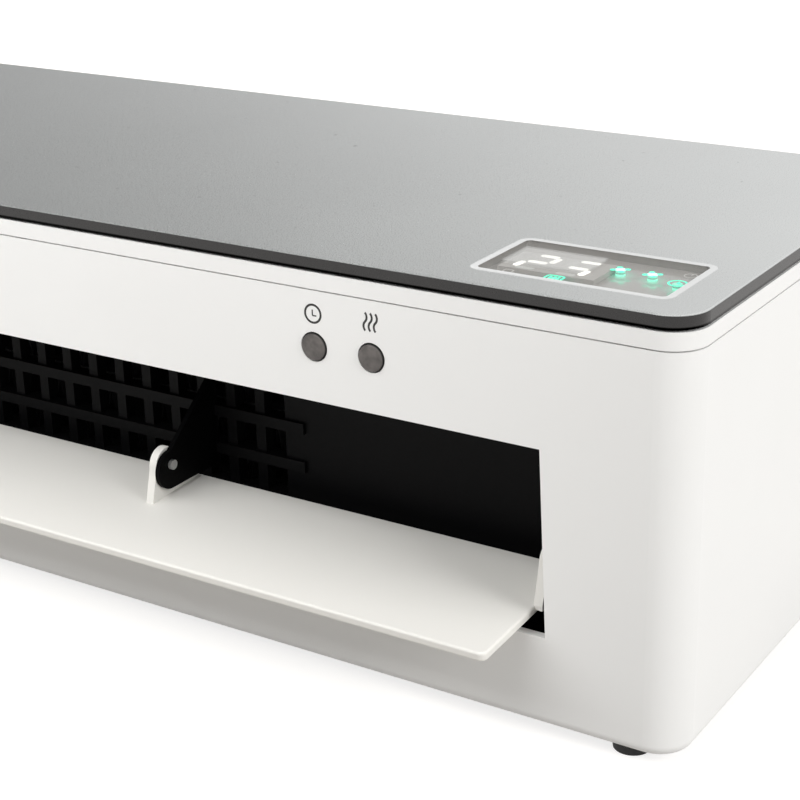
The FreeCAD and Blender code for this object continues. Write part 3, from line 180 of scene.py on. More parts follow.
class HeaterSizes(bpy.types.PropertyGroup):
    """Sizes of what is modelled here."""

    mark_height: length_value("Mark height", "Height of a printed mark", 5.4 * MM)
    mark_line: length_value("Mark line", "Line width of a printed mark", 0.58 * MM)
    timer_rise: length_value("Timer mark rise", "Timer mark above its button", 9.0 * MM)
    function_rise: length_value("Heat mark rise", "Heat mark above its button", 9.5 * MM)
    ink_thickness: length_value("Ink thickness", "Height of the ink on the wall", 0.04 * MM)
    cap_radius: length_value("Cap radius", "Radius of a button cap", 3.65 * MM)
    cap_edge: length_value("Cap edge", "Rounding of a cap's rim", 0.5 * MM)
    cap_crown: length_value("Cap crown", "Rise of a cap's face", 0.32 * MM)
    stem_radius: length_value("Stem radius", "Radius of a button's stem", 1.8 * MM)
    stem_length: length_value("Stem length", "Length of a button's stem", 2.2 * MM)
    collar_thickness: length_value("Collar", "Thickness of a button's collar", 1.2 * MM)
    digit_width: length_value("Digit width", "Width over the segments' middles", 6.6 * MM)
    digit_height: length_value("Digit height", "Height over the segments' middles", 11.2 * MM)
    digit_pitch: length_value("Digit pitch", "From one digit to the next", 11.4 * MM)
    digit_line: length_value("Segment width", "Width of a segment", 1.8 * MM)
    digit_slant: angle_value("Digit slant", "Lean of the digits", 7)
    shown: StringProperty(name="Digits", description="Digits on the display", default="25")
    icon_line: length_value("Icon line", "Line width of an icon", 0.55 * MM)


class HeaterStage(bpy.types.PropertyGroup):
    """Camera and light."""

    lens: FloatProperty(name="Lens", description="Focal length on a 36 mm sensor", default=81.593)
    eye: FloatVectorProperty(name="Eye", description="Place of the camera", subtype="XYZ", unit="LENGTH",
                             default=(0.38271, -0.42839, 0.25179))
    turn: angle_value("Turn", "Azimuth of the view", 32.796)
    pitch: angle_value("Pitch", "Elevation of the view", 21.205)
    roll: angle_value("Roll", "Roll of the view", -1.309)
    side_power: power_value("Side lamp", "Watts of the lamp on the right", 20.0)
    front_power: power_value("Front lamp", "Watts of the lamp above the front", 1.85)
    back_power: power_value("Back lamp", "Watts of the lamp behind on the left", 20.0)
    ambient: FloatProperty(name="Ambient", description="Light from all round", default=0.43)


def deselect():
    if bpy.context.object and bpy.context.object.mode != "OBJECT":
        bpy.ops.object.mode_set(mode="OBJECT")
    bpy.ops.object.select_all(action="DESELECT")


def select_only(*objects):
    deselect()
    for piece in objects:
        piece.select_set(True)
    bpy.context.view_layer.objects.active = objects[0]


def named(name):
    piece = bpy.context.object
    piece.name = name
    piece.data.name = name
    return piece


def settle(piece):
    """Puts the piece's place, turn and size into its mesh."""
    select_only(piece)
    bpy.ops.object.transform_apply(location=True, rotation=True, scale=True)
    return piece


def bar(name, start, end, width):
    """Flat strip between two points of the drawing plane."""
    deselect()
    run = Vector(end) - Vector(start)
    bpy.ops.mesh.primitive_plane_add(size=1, location=(*((Vector(start) + Vector(end)) / 2), 0))
    piece = named(name)
    piece.scale = (run.length, width, 1)
    piece.rotation_euler.z = math.atan2(run.y, run.x)
    return settle(piece)


def arc(name, centre, radius, width, start, sweep, steps):
    """Flat band along an arc of the drawing plane."""
    deselect()
    bpy.ops.mesh.primitive_plane_add(size=width, location=(radius, 0, 0))
    piece = settle(named(name))
    bpy.ops.object.mode_set(mode="EDIT")
    bpy.ops.mesh.select_all(action="SELECT")
    bpy.ops.transform.resize(value=(1, 0, 1), center_override=(radius, 0, 0))
    bpy.ops.mesh.remove_doubles(threshold=width / 100)
    bpy.ops.mesh.select_all(action="SELECT")
    bpy.ops.mesh.spin(steps=steps, angle=-sweep, center=(0, 0, 0), axis=(0, 0, 1))
    bpy.ops.mesh.select_all(action="SELECT")
    bpy.ops.mesh.remove_doubles(threshold=width / 100)
    bpy.ops.mesh.normals_make_consistent(inside=False)
    bpy.ops.object.mode_set(mode="OBJECT")
    piece.rotation_euler.z = start
    piece.location = (*centre, 0)
    return settle(piece)


def disc(name, centre, radius, sides):
    deselect()
    bpy.ops.mesh.primitive_circle_add(vertices=sides, radius=radius, fill_type="NGON",
                                      location=(*centre, 0))
    return settle(named(name))


def rounded_frame(name, centre, size, corner, line):
    """Flat line round a rectangle with rounded corners."""
    deselect()
    bpy.ops.mesh.primitive_plane_add(size=1, location=(*centre, 0))
    piece = named(name)
    piece.scale = (*size, 1)
    settle(piece)
    bpy.ops.object.mode_set(mode="EDIT")
    bpy.ops.mesh.select_all(action="SELECT")
    bpy.ops.mesh.bevel(offset=corner, segments=4, affect="VERTICES")
    bpy.ops.mesh.select_mode(type="FACE")
    bpy.ops.mesh.select_all(action="SELECT")
    bpy.ops.mesh.inset(thickness=line)
    bpy.ops.mesh.delete(type="FACE")
    bpy.ops.object.mode_set(mode="OBJECT")
    return piece


def turned(name, profile, sides):
    """Round piece about Z, through rings of (radius, height) from its back to its face."""
    radius, height = profile[0]
    deselect()
    bpy.ops.mesh.primitive_circle_add(vertices=sides, radius=radius, fill_type="NGON",
                                      location=(0, 0, height))
    piece = settle(named(name))
    bpy.ops.object.mode_set(mode="EDIT")
    bpy.ops.mesh.select_mode(type="FACE")
    bpy.ops.mesh.select_all(action="SELECT")
    for wide, high in profile[1:]:
        bpy.ops.mesh.extrude_region_move(TRANSFORM_OT_translate={"value": (0, 0, high - height)})
        share = wide / radius
        bpy.ops.transform.resize(value=(share, share, 1), center_override=(0, 0, high))
        radius, height = wide, high
    bpy.ops.mesh.select_all(action="SELECT")
    bpy.ops.mesh.normals_make_consistent(inside=False)
    bpy.ops.object.mode_set(mode="OBJECT")
    return piece


def copied(piece, name):
    select_only(piece)
    bpy.ops.object.duplicate()
    return named(name)


def joined(pieces, name):
    select_only(*pieces)
    if len(pieces) > 1:
        bpy.ops.object.join()
    return named(name)


def thickened(piece, height):
    """Raises a flat drawing into a closed relief."""
    select_only(piece)
    bpy.ops.object.mode_set(mode="EDIT")
    bpy.ops.mesh.select_all(action="SELECT")
    bpy.ops.mesh.extrude_region_move(TRANSFORM_OT_translate={"value": (0, 0, height)})
    bpy.ops.mesh.select_all(action="SELECT")
    bpy.ops.mesh.normals_make_consistent(inside=False)
    bpy.ops.object.mode_set(mode="OBJECT")
    return piece


def stood(piece, place, onto):
    """Moves a drawing made at the origin to its place: onto is top, front or left."""
    turns = {
        "top": (0, 0, 0),
        "front": (math.pi / 2, 0, 0),
        "left": (math.pi / 2, 0, -math.pi / 2),
    }
    piece.rotation_euler = turns[onto]
    piece.location = place
    return settle(piece)


def dressed(piece, material, body, smooth=None):
    """Gives a finished piece its finish and the body that it rides on."""
    piece.data.materials.clear()
    piece.data.materials.append(material)
    select_only(piece)
    if smooth is not None:
        bpy.ops.object.shade_smooth_by_angle(angle=math.radians(smooth))
    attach(piece, body)
    return piece


def finish_nodes(finishes):
    """Gives each material of a table to its frame nodes."""
    for material, nodes in finishes.items():
        for node in nodes:
            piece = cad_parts[node]
            if not piece.material_slots:
                piece.data.materials.append(material)
            for slot in piece.material_slots:
                slot.material = material


def add_node(tree, kind, **values):
    node = tree.nodes.new(kind)
    for key, value in values.items():
        setattr(node, key, value)
    return node


def feed(tree, socket, value):
    """Links an output to a socket, or sets the socket to a plain value."""
    if hasattr(value, "is_output"):
        tree.links.new(value, socket)
    elif socket.type == "RGBA":
        socket.default_value = (*value, 1)
    else:
        socket.default_value = value


def fill(tree, node, values):
    for label, value in values.items():
        feed(tree, node.inputs[label], value)


def maths(tree, operation, *values):
    node = add_node(tree, "ShaderNodeMath", operation=operation)
    for socket, value in zip(node.inputs, values):
        feed(tree, socket, value)
    return node.outputs[0]


def vectors(tree, operation, first, second, output="Vector"):
    node = add_node(tree, "ShaderNodeVectorMath", operation=operation)
    feed(tree, node.inputs[0], first)
    feed(tree, node.inputs[1], second)
    return node.outputs[output]


def scaled(tree, colour, factor):
    node = add_node(tree, "ShaderNodeVectorMath", operation="SCALE")
    feed(tree, node.inputs[0], colour)
    feed(tree, node.inputs["Scale"], factor)
    return node.outputs[0]


def mapped(tree, value, start, end=(0.0, 1.0), **kind):
    """Maps the span start onto the span end."""
    node = add_node(tree, "ShaderNodeMapRange", **kind)
    fill(tree, node, {"Value": value, "From Min": start[0], "From Max": start[1], "To Min": end[0],
                      "To Max": end[1]})
    return node.outputs[0]


def place_on_part(tree):
    return add_node(tree, "ShaderNodeTexCoord").outputs["Object"]


def noise(tree, scale, detail=2.0, place=None):
    """Cloudy values over the part."""
    node = add_node(tree, "ShaderNodeTexNoise")
    fill(tree, node, {"Vector": place_on_part(tree) if place is None else place, "Scale": scale,
                      "Detail": detail})
    return node.outputs["Fac"]


def axis_mask(tree, axis, low, high):
    """0 before low and 1 past high, along one axis of the part."""
    split = add_node(tree, "ShaderNodeSeparateXYZ")
    feed(tree, split.inputs[0], place_on_part(tree))
    return mapped(tree, split.outputs[axis], (low, high))


def blend_colours(tree, factor, first, second):
    mix = add_node(tree, "ShaderNodeMix", data_type="RGBA")
    feed(tree, mix.inputs["Factor"], factor)
    feed(tree, mix.inputs[6], first)
    feed(tree, mix.inputs[7], second)
    return mix.outputs[2]


def new_group(name, inputs, outputs):
    group = bpy.data.node_groups.new(name, "ShaderNodeTree")
    for label, kind, default in inputs:
        socket = group.interface.new_socket(name=label, in_out="INPUT", socket_type=kind)
        socket.default_value = default
    for label, kind in outputs:
        group.interface.new_socket(name=label, in_out="OUTPUT", socket_type=kind)
    start = add_node(group, "NodeGroupInput")
    end = add_node(group, "NodeGroupOutput")
    return group, start.outputs, end


def grain_group():
    """Fine moulded grain: a colour that drifts a little, a roughness that varies and a height."""
    found = bpy.data.node_groups.get("moulded_grain")
    if found:
        return found
    group, given, end = new_group(
        "moulded_grain",
        [("Colour", "NodeSocketColor", (0.8, 0.8, 0.8, 1)), ("Grain", "NodeSocketFloat", 2000.0),
         ("Drift", "NodeSocketFloat", 0.03), ("Roughness", "NodeSocketFloat", 0.4),
         ("Spread", "NodeSocketFloat", 0.05)],
        [("Colour", "NodeSocketColor"), ("Roughness", "NodeSocketFloat"), ("Height", "NodeSocketFloat")])
    fine = noise(group, given["Grain"])
    broad = noise(group, DRIFT_SCALE, detail=4.0)
    darkest = maths(group, "SUBTRACT", 1.0, given["Drift"])
    smoothest = maths(group, "SUBTRACT", given["Roughness"], given["Spread"])
    roughest = maths(group, "ADD", given["Roughness"], given["Spread"])
    fill(group, end, {
        "Colour": scaled(group, given["Colour"], mapped(group, broad, NOISE_SPAN, (darkest, 1.0))),
        "Roughness": mapped(group, fine, NOISE_SPAN, (smoothest, roughest)),
        "Height": fine,
    })
    return group


def brushed_group():
    """Streaks along X for rolled and turned metal: a brightness, a roughness and a height."""
    found = bpy.data.node_groups.get("brushed_streaks")
    if found:
        return found
    group, given, end = new_group(
        "brushed_streaks",
        [("Colour", "NodeSocketColor", (0.6, 0.6, 0.6, 1)), ("Along", "NodeSocketFloat", 40.0),
         ("Across", "NodeSocketFloat", 4000.0), ("Roughness", "NodeSocketFloat", 0.3)],
        [("Colour", "NodeSocketColor"), ("Roughness", "NodeSocketFloat"), ("Height", "NodeSocketFloat")])
    stretch = add_node(group, "ShaderNodeCombineXYZ")
    fill(group, stretch, {"X": given["Along"], "Y": given["Across"], "Z": given["Across"]})
    place = vectors(group, "MULTIPLY", place_on_part(group), stretch.outputs[0])
    streak = noise(group, 1.0, place=place)
    fill(group, end, {
        "Colour": scaled(group, given["Colour"], mapped(group, streak, (0.0, 1.0), (0.8, 1.05))),
        "Roughness": maths(group, "MULTIPLY_ADD", streak, 0.2, given["Roughness"]),
        "Height": streak,
    })
    return group


def spill_group():
    """Light that spreads from one place over what lies round it: 1 at the place, 0 past the reach."""
    found = bpy.data.node_groups.get("light_spill")
    if found:
        return found
    group, given, end = new_group(
        "light_spill", [("Place", "NodeSocketVector", (0, 0, 0)), ("Reach", "NodeSocketFloat", 0.01)],
        [("Value", "NodeSocketFloat")])
    away = vectors(group, "DISTANCE", place_on_part(group), given["Place"], output="Value")
    fade = mapped(group, away, (0.0, given["Reach"]), (1.0, 0.0), interpolation_type="SMOOTHSTEP")
    fill(group, end, {"Value": fade})
    return group


def blank_material(name):
    material = bpy.data.materials.new(name)
    material.use_nodes = True
    return material, material.node_tree, material.node_tree.nodes["Principled BSDF"]


def bump(tree, shader, height, strength, distance):
    relief = add_node(tree, "ShaderNodeBump")
    fill(tree, relief, {"Height": height, "Strength": strength, "Distance": distance})
    feed(tree, shader.inputs["Normal"], relief.outputs["Normal"])


def grained(tree, colour, roughness, grain=2200.0, drift=0.03, spread=0.05):
    grainy = add_node(tree, "ShaderNodeGroup", node_tree=grain_group())
    fill(tree, grainy, {"Colour": colour, "Grain": grain, "Drift": drift, "Roughness": roughness,
                        "Spread": spread})
    return grainy.outputs


def moulded(name, colour, roughness, grain=2200.0, drift=0.03, spread=0.05, relief=0.01 * MM, strength=0.4,
            specular=0.5):
    """Moulded plastic or rubber with a fine grain."""
    material, tree, shader = blank_material(name)
    grainy = grained(tree, colour, roughness, grain, drift, spread)
    fill(tree, shader, {"Base Color": grainy["Colour"], "Roughness": grainy["Roughness"],
                        "Specular IOR Level": specular})
    bump(tree, shader, grainy["Height"], strength, relief)
    return material


def metal(name, colour, roughness, along=40.0, across=4000.0, relief=0.004 * MM):
    material, tree, shader = blank_material(name)
    streaks = add_node(tree, "ShaderNodeGroup", node_tree=brushed_group())
    fill(tree, streaks, {"Colour": colour, "Along": along, "Across": across, "Roughness": roughness})
    made = streaks.outputs
    fill(tree, shader, {"Base Color": made["Colour"], "Roughness": made["Roughness"], "Metallic": 1.0})
    bump(tree, shader, made["Height"], 0.3, relief)
    return material


def panel_material(colours):
    """Silver-grey paint with a metallic grain and a few specks under satin glass, and a dark edge with a
    painted black shadow line along its foot.
    """
    material, tree, shader = blank_material("panel_paint")
    grainy = grained(tree, colours.silver, roughness=0.3, grain=3200.0, drift=0.05)
    on_top = axis_mask(tree, "Z", GLASS_HIGH.z - 0.35 * MM, GLASS_HIGH.z - 0.12 * MM)
    # Painted shadow: the lowest half millimetre of the glass edge is black, standing for the shadow of the
    # gap under the glass.
    painted_shadow_line = axis_mask(tree, "Z", GLASS_LOW.z + 0.75 * MM, GLASS_LOW.z + 0.45 * MM)
    glint = mapped(tree, noise(tree, 2600.0, detail=1.0), (0.25, 0.75), (0.92, 1.08))
    speck = mapped(tree, noise(tree, 420.0, detail=0.0), (0.87, 0.91), (1.0, 0.6))
    paint = scaled(tree, grainy["Colour"], maths(tree, "MULTIPLY", glint, speck))
    edge = blend_colours(tree, painted_shadow_line, colours.glass_edge, (0, 0, 0))
    fill(tree, shader, {
        "Base Color": blend_colours(tree, on_top, edge, paint),
        "Roughness": grainy["Roughness"],
        "Metallic": maths(tree, "MAXIMUM", maths(tree, "MULTIPLY", on_top, 0.8), painted_shadow_line),
        "Coat Weight": maths(tree, "MULTIPLY", on_top, 0.9),
        "Coat Roughness": 0.2,
    })
    return material


def bezel_material(colours):
    """Pale line round the display, with darker walls below it."""
    material, tree, shader = blank_material("bezel_line")
    on_top = axis_mask(tree, "Z", LENS_HIGH.z - 0.12 * MM, LENS_HIGH.z - 0.04 * MM)
    grainy = grained(tree, colours.bezel, roughness=0.35)
    fill(tree, shader, {"Base Color": blend_colours(tree, on_top, colours.bezel_wall, grainy["Colour"]),
                        "Roughness": grainy["Roughness"]})
    return material


def film_mask(tree):
    """1 under the film over the digits and 0 round it."""
    soft = 0.3 * MM
    (left, front), (right, back) = FILM_CORNERS
    spans = (("X", WINDOW.x + left, WINDOW.x + right), ("Y", WINDOW.y + front, WINDOW.y + back))
    sides = []
    for axis, low, high in spans:
        past = axis_mask(tree, axis, low - soft, low)
        before = axis_mask(tree, axis, high + soft, high)
        sides.append(maths(tree, "MULTIPLY", past, before))
    return maths(tree, "MULTIPLY", *sides)


def lens_material(colours):
    """Clear window with a paler film over the digits."""
    material, tree, shader = blank_material("clear_window")
    grainy = grained(tree, colours.window, roughness=0.08, spread=0.02)
    fill(tree, shader, {"Base Color": grainy["Colour"], "Roughness": grainy["Roughness"],
                        "Alpha": mapped(tree, film_mask(tree), (0.0, 1.0), (0.07, 0.36))})
    return material


def block_material(colours):
    """Digit block: pale under the film, as dark as the tray round it."""
    material, tree, shader = blank_material("digit_block")
    grainy = grained(tree, colours.block, roughness=0.4, grain=1800.0, drift=0.05)
    fill(tree, shader, {"Base Color": blend_colours(tree, film_mask(tree), colours.tray, grainy["Colour"]),
                        "Roughness": grainy["Roughness"]})
    return material


def tray_material(colours):
    """Glossy film that mirrors the icons above it and takes their green light."""
    material, tree, shader = blank_material("tray_film")
    grainy = grained(tree, colours.tray, roughness=0.4, grain=2600.0, drift=0.03)
    total = 0.0
    for x, y in (*FAN_ICONS, CLOCK_ICON, FRAME_ICON):
        spill = add_node(tree, "ShaderNodeGroup", node_tree=spill_group())
        fill(tree, spill, {"Place": (WINDOW.x + x, WINDOW.y + y, LENS_LOW.z), "Reach": SPILL_REACH})
        total = maths(tree, "ADD", total, spill.outputs["Value"])
    fill(tree, shader, {
        "Base Color": grainy["Colour"],
        "Roughness": grainy["Roughness"],
        "Emission Color": scaled(tree, colours.glow_green, total),
        "Emission Strength": 0.4,
        "Coat Weight": 1.0,
        "Coat Roughness": 0.06,
        "Coat IOR": 2.2,
    })
    return material


def glow_material(name, colour, strength):
    """Lit ink or plastic, a little uneven; also the painted glow of the unlit icon outlines."""
    material, tree, shader = blank_material(name)
    uneven = mapped(tree, noise(tree, 900.0), (0.0, 1.0), (0.88, 1.08))
    fill(tree, shader, {
        "Base Color": [0.5 * c for c in colour],
        "Roughness": 0.3,
        "Emission Color": scaled(tree, colour, uneven),
        "Emission Strength": strength,
    })
    return material


def pipe_material(colours):
    """Light pipe with bands of green light that fade with depth."""
    material, tree, shader = blank_material("pipe_light")
    bands = add_node(tree, "ShaderNodeValToRGB")
    ramp = bands.color_ramp
    ramp.elements[0].position = PIPE_BANDS[0][0]
    ramp.elements[-1].position = PIPE_BANDS[-1][0]
    for place, level in PIPE_BANDS[1:-1]:
        ramp.elements.new(place)
    for element, (place, level) in zip(ramp.elements, PIPE_BANDS):
        element.color = (level, level, level, 1)
    fill(tree, bands, {"Fac": axis_mask(tree, "Z", PIPE_TOP - PIPE_DEPTH, PIPE_TOP)})
    light = [0.1 + 0.9 * c for c in colours.glow_green]
    fill(tree, shader, {
        "Base Color": colours.pipe,
        "Roughness": 0.25,
        "Emission Color": vectors(tree, "MULTIPLY", bands.outputs["Color"], light),
        "Emission Strength": 1.1,
    })
    return material


def button_material(colours):
    """Grey cap, a little mottled, with painted shade in the ink colour on its side below the rim, for the gap
    round the cap.
    """
    material, tree, shader = blank_material("button_grey")
    grainy = grained(tree, colours.button, roughness=0.46, grain=1600.0, drift=0.08)
    # Painted shade: the cap's side behind its rim is coloured near black, standing for the shadowed gap round
    # the cap.
    painted_gap_shade = axis_mask(tree, "Y", FRONT_Y - 0.5 * MM, FRONT_Y - 0.25 * MM)
    patches = mapped(tree, noise(tree, 420.0), NOISE_SPAN, (0.7, 1.4))
    mottled = scaled(tree, grainy["Colour"], patches)
    fill(tree, shader, {"Base Color": blend_colours(tree, painted_gap_shade, mottled, colours.ink),
                        "Roughness": grainy["Roughness"]})
    bump(tree, shader, grainy["Height"], strength=0.4, distance=0.01 * MM)
    return material


class HEATER_OT_white_mouldings(bpy.types.Operator):
    """Finishes the white housing, covers, intake grille and louvre"""

    bl_idname = "heater.white_mouldings"
    bl_label = "White mouldings"

    def execute(self, context):
        white = context.scene.heater_finish.white
        rear_white = [0.97 * c for c in white]
        # Painted shade: the louvre takes a darker, warmer copy of the housing white, standing for the shade
        # that falls on it.
        louvre_shaded_white = [share * c for share, c in zip((0.94, 0.925, 0.89), white)]
        shell = moulded("shell_white", white, 0.36, grain=1500.0, drift=0.02, relief=0.006 * MM,
                        strength=0.35)
        rear = moulded("rear_white", rear_white, 0.5, grain=900.0, drift=0.03, relief=0.02 * MM, strength=0.5)
        blade = moulded("louvre_white", louvre_shaded_white, 0.42, grain=1800.0, drift=0.02, relief=0.006 * MM)
        finish_nodes({
            shell: ("main_housing", "front_cover"),
            rear: ("rear_cover", "intake_grille"),
            blade: ("louvre",),
        })
        return {"FINISHED"}


class HEATER_OT_panel(bpy.types.Operator):
    """Finishes the glass panel, its gasket and the line round the display"""

    bl_idname = "heater.panel"
    bl_label = "Glass panel"

    def execute(self, context):
        colours = context.scene.heater_finish
        finish_nodes({
            panel_material(colours): ("glass_panel",),
            moulded("gasket_black", (0.012, 0.012, 0.012), 0.8, grain=1200.0): ("panel_gasket",),
            bezel_material(colours): ("display_bezel",),
        })
        return {"FINISHED"}


class HEATER_OT_display(bpy.types.Operator):
    """Models the digits and icons of the display and finishes what lies round them"""

    bl_idname = "heater.display"
    bl_label = "Display"

    def execute(self, context):
        colours = context.scene.heater_finish
        sizes = context.scene.heater_sizes
        finish_nodes({
            lens_material(colours): ("display_lens",),
            tray_material(colours): ("display_tray",),
            block_material(colours): ("digit_module",),
            pipe_material(colours): ("icon_light_pipes",),
        })
        self.digits(colours, sizes)
        self.icons(colours, sizes)
        self.outlines(colours, sizes)
        return {"FINISHED"}

    def digits(self, colours, sizes):
        lights = {
            "digits_lit": glow_material("digit_light", colours.glow_white, 0.95),
            "digits_faint": glow_material("digit_faint", colours.glow_faint, 0.6),
        }
        groups = {name: [] for name in lights}
        for place, figure in enumerate(sizes.shown):
            offset = (place - (len(sizes.shown) - 1) / 2) * sizes.digit_pitch
            for label in DIGIT_SEGMENTS[figure]:
                seen = "digits_faint" if label in FAINT_SEGMENTS else "digits_lit"
                groups[seen].append(self.segment(label, offset, sizes))
        middle = (DIGIT_LOW + DIGIT_HIGH) / 2
        for name, pieces in groups.items():
            drawing = thickened(joined(pieces, name), SEGMENT_RELIEF)
            stood(drawing, (middle.x, middle.y, DIGIT_HIGH.z + CLEARANCE), "top")
            dressed(drawing, lights[name], "body")

    def segment(self, label, offset, sizes):
        """One leaning segment with clipped corners."""
        across, along, flat = SEGMENTS[label]
        half_width = sizes.digit_width / 2
        half_height = sizes.digit_height / 2
        x = offset + across * half_width
        y = along * half_height
        reach = (half_width if flat else half_height / 2) - 0.35 * sizes.digit_line
        run = (reach, 0) if flat else (0, reach)
        lean = math.tan(sizes.digit_slant)
        start = (x - run[0] + lean * (y - run[1]), y - run[1])
        end = (x + run[0] + lean * (y + run[1]), y + run[1])
        piece = bar("segment", start, end, sizes.digit_line)
        bpy.ops.object.mode_set(mode="EDIT")
        bpy.ops.mesh.select_all(action="SELECT")
        bpy.ops.mesh.bevel(offset=0.45 * sizes.digit_line, segments=2, affect="VERTICES")
        bpy.ops.object.mode_set(mode="OBJECT")
        return piece

    def under_window(self, drawing, place, material):
        """Sets a drawing against the under side of the window."""
        thickened(drawing, ICON_RELIEF)
        height = LENS_LOW.z - ICON_RELIEF - CLEARANCE
        stood(drawing, (WINDOW.x + place[0], WINDOW.y + place[1], height), "top")
        dressed(drawing, material, "body")

    def icons(self, colours, sizes):
        core = glow_material("icon_core", [min(1.0, 0.55 + 0.6 * c) for c in colours.glow_green], 1.1)
        glow = glow_material("icon_glow", colours.glow_green, 1.1)
        line = sizes.icon_line
        hub = disc("fan_hub_1", (0, 0), HUB_RADIUS, 24)
        petals = []
        for quarter in range(4):
            angle = PETAL_TURN + quarter * math.pi / 2
            centre = (PETAL_REACH * math.cos(angle), PETAL_REACH * math.sin(angle))
            petals.append(disc("blade", centre, PETAL_RADIUS, 16))
        fan = joined(petals, "fan_blades_1")
        hubs = (hub, copied(hub, "fan_hub_2"))
        fans = (fan, copied(fan, "fan_blades_2"))
        for centre, ring, place in zip(hubs, fans, FAN_ICONS):
            self.under_window(centre, place, core)
            self.under_window(ring, place, glow)
        dial = arc("dial", (0, 0), DIAL_RADIUS, line, 0, 2 * math.pi, 40)
        hand = bar("hand", (0, LONG_HAND), (0, 0), 0.8 * line)
        short = bar("short_hand", (-0.4 * line, 0), (SHORT_HAND, 0), 0.8 * line)
        self.under_window(joined([dial, hand, short], "clock_icon"), CLOCK_ICON, glow)
        pieces = [rounded_frame("border", (0, 0), BORDER_SIZE, BORDER_CORNER, line)]
        for step in (-1, 0, 1):
            x = step * RIB_PITCH
            pieces.append(bar("rib", (x, -RIB_HALF), (x, RIB_HALF), line))
        self.under_window(joined(pieces, "heat_icon"), FRAME_ICON, glow)

    def outlines(self, colours, sizes):
        """Icons that are not lit, as faint lines with a painted glow."""
        # Painted glow: the unlit outlines emit a faint grey light so that they show as pale lines.
        unlit_painted_glow = glow_material("icon_unlit", colours.unlit, 0.6)
        line = 0.4 * sizes.icon_line
        ring = arc("ring", (0, 0), RING_RADIUS, line, 0, 2 * math.pi, 32)
        notch = bar("notch", (0, NOTCH_FOOT), (0, RING_RADIUS), line)
        self.under_window(joined([ring, notch], "standby_outline"), RING_OUTLINE, unlit_painted_glow)
        tab = rounded_frame("tab_outline", (0, 0), TAB_SIZE, TAB_CORNER, line)
        self.under_window(tab, TAB_OUTLINE, unlit_painted_glow)


class HEATER_OT_buttons(bpy.types.Operator):
    """Models the crowned button caps and the marks printed above them"""

    bl_idname = "heater.buttons"
    bl_label = "Buttons and marks"

    def execute(self, context):
        colours = context.scene.heater_finish
        sizes = context.scene.heater_sizes
        finish = button_material(colours)
        ink = moulded("printed_ink", colours.ink, 0.55, grain=4000.0, drift=0.1, relief=0.002 * MM)
        first = self.cap(sizes)
        caps = ((first, "timer_body", "timer_button"),
                (copied(first, "function_cap"), "function_body", "function_button"))
        for cap, body, node in caps:
            low, high = BUTTON_BOXES[body]
            stood(cap, ((low.x + high.x) / 2, FRONT_Y, (low.z + high.z) / 2), "front")
            dressed(cap, finish, body, smooth=40)
            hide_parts(node)
        marks = ((self.timer_mark(sizes), "timer_body", sizes.timer_rise),
                 (self.heat_mark(sizes), "function_body", sizes.function_rise))
        for mark, body, rise in marks:
            low, high = BUTTON_BOXES[body]
            middle = (low + high) / 2
            thickened(mark, sizes.ink_thickness)
            stood(mark, (middle.x, FRONT_Y, middle.z + rise), "front")
            dressed(mark, ink, "body")
        return {"FINISHED"}

    def cap(self, sizes):
        """Stem, collar and crowned cap, with its face outward."""
        low, high = BUTTON_BOXES["timer_body"]
        proud = FRONT_Y - low.y
        back = FRONT_Y - high.y
        shoulder = back + sizes.stem_length
        collar = shoulder + sizes.collar_thickness
        collar_radius = (high.x - low.x) / 2
        flat = sizes.cap_radius - sizes.cap_edge
        profile = [(sizes.stem_radius, back), (sizes.stem_radius, shoulder), (collar_radius, shoulder),
                   (collar_radius, collar), (sizes.cap_radius, collar)]
        for step in range(5):
            angle = step * math.pi / 8
            profile.append((flat + sizes.cap_edge * math.cos(angle),
                            proud - sizes.cap_edge * (1 - math.sin(angle))))
        for share in (0.85, 0.7, 0.55, 0.4, 0.25, 0.1):
            profile.append((flat * share, proud + sizes.cap_crown * (1 - share ** 2)))
        return turned("timer_cap", profile, 64)

    def timer_mark(self, sizes):
        """Clock face: a ring and two hands."""
        line = sizes.mark_line
        radius = (sizes.mark_height - line) / 2
        corner = (-0.06 * radius, -0.2 * radius)
        ring = arc("timer_ring", (0, 0), radius, line, 0, 2 * math.pi, 48)
        minute = bar("minute_hand", (corner[0], 0.45 * radius), corner, 0.6 * line)
        hour = bar("hour_hand", corner, (0.45 * radius, corner[1]), 0.6 * line)
        return joined([ring, minute, hour], "timer_mark")

    def heat_mark(self, sizes):
        """Three rising waves, each of two quarter arcs."""
        line = sizes.mark_line
        eighth = math.pi / 4
        bend = (sizes.mark_height - line) / (4 * math.sin(eighth))
        drop = bend * math.sin(eighth)
        sag = bend * math.cos(eighth)
        waves = []
        for step in (-1, 0, 1):
            x = step * WAVE_PITCH
            waves.append(arc("wave", (x - sag, drop), bend, line, -eighth, 2 * eighth, 12))
            waves.append(arc("wave", (x + sag, -drop), bend, line, 3 * eighth, 2 * eighth, 12))
        return joined(waves, "heat_mark")


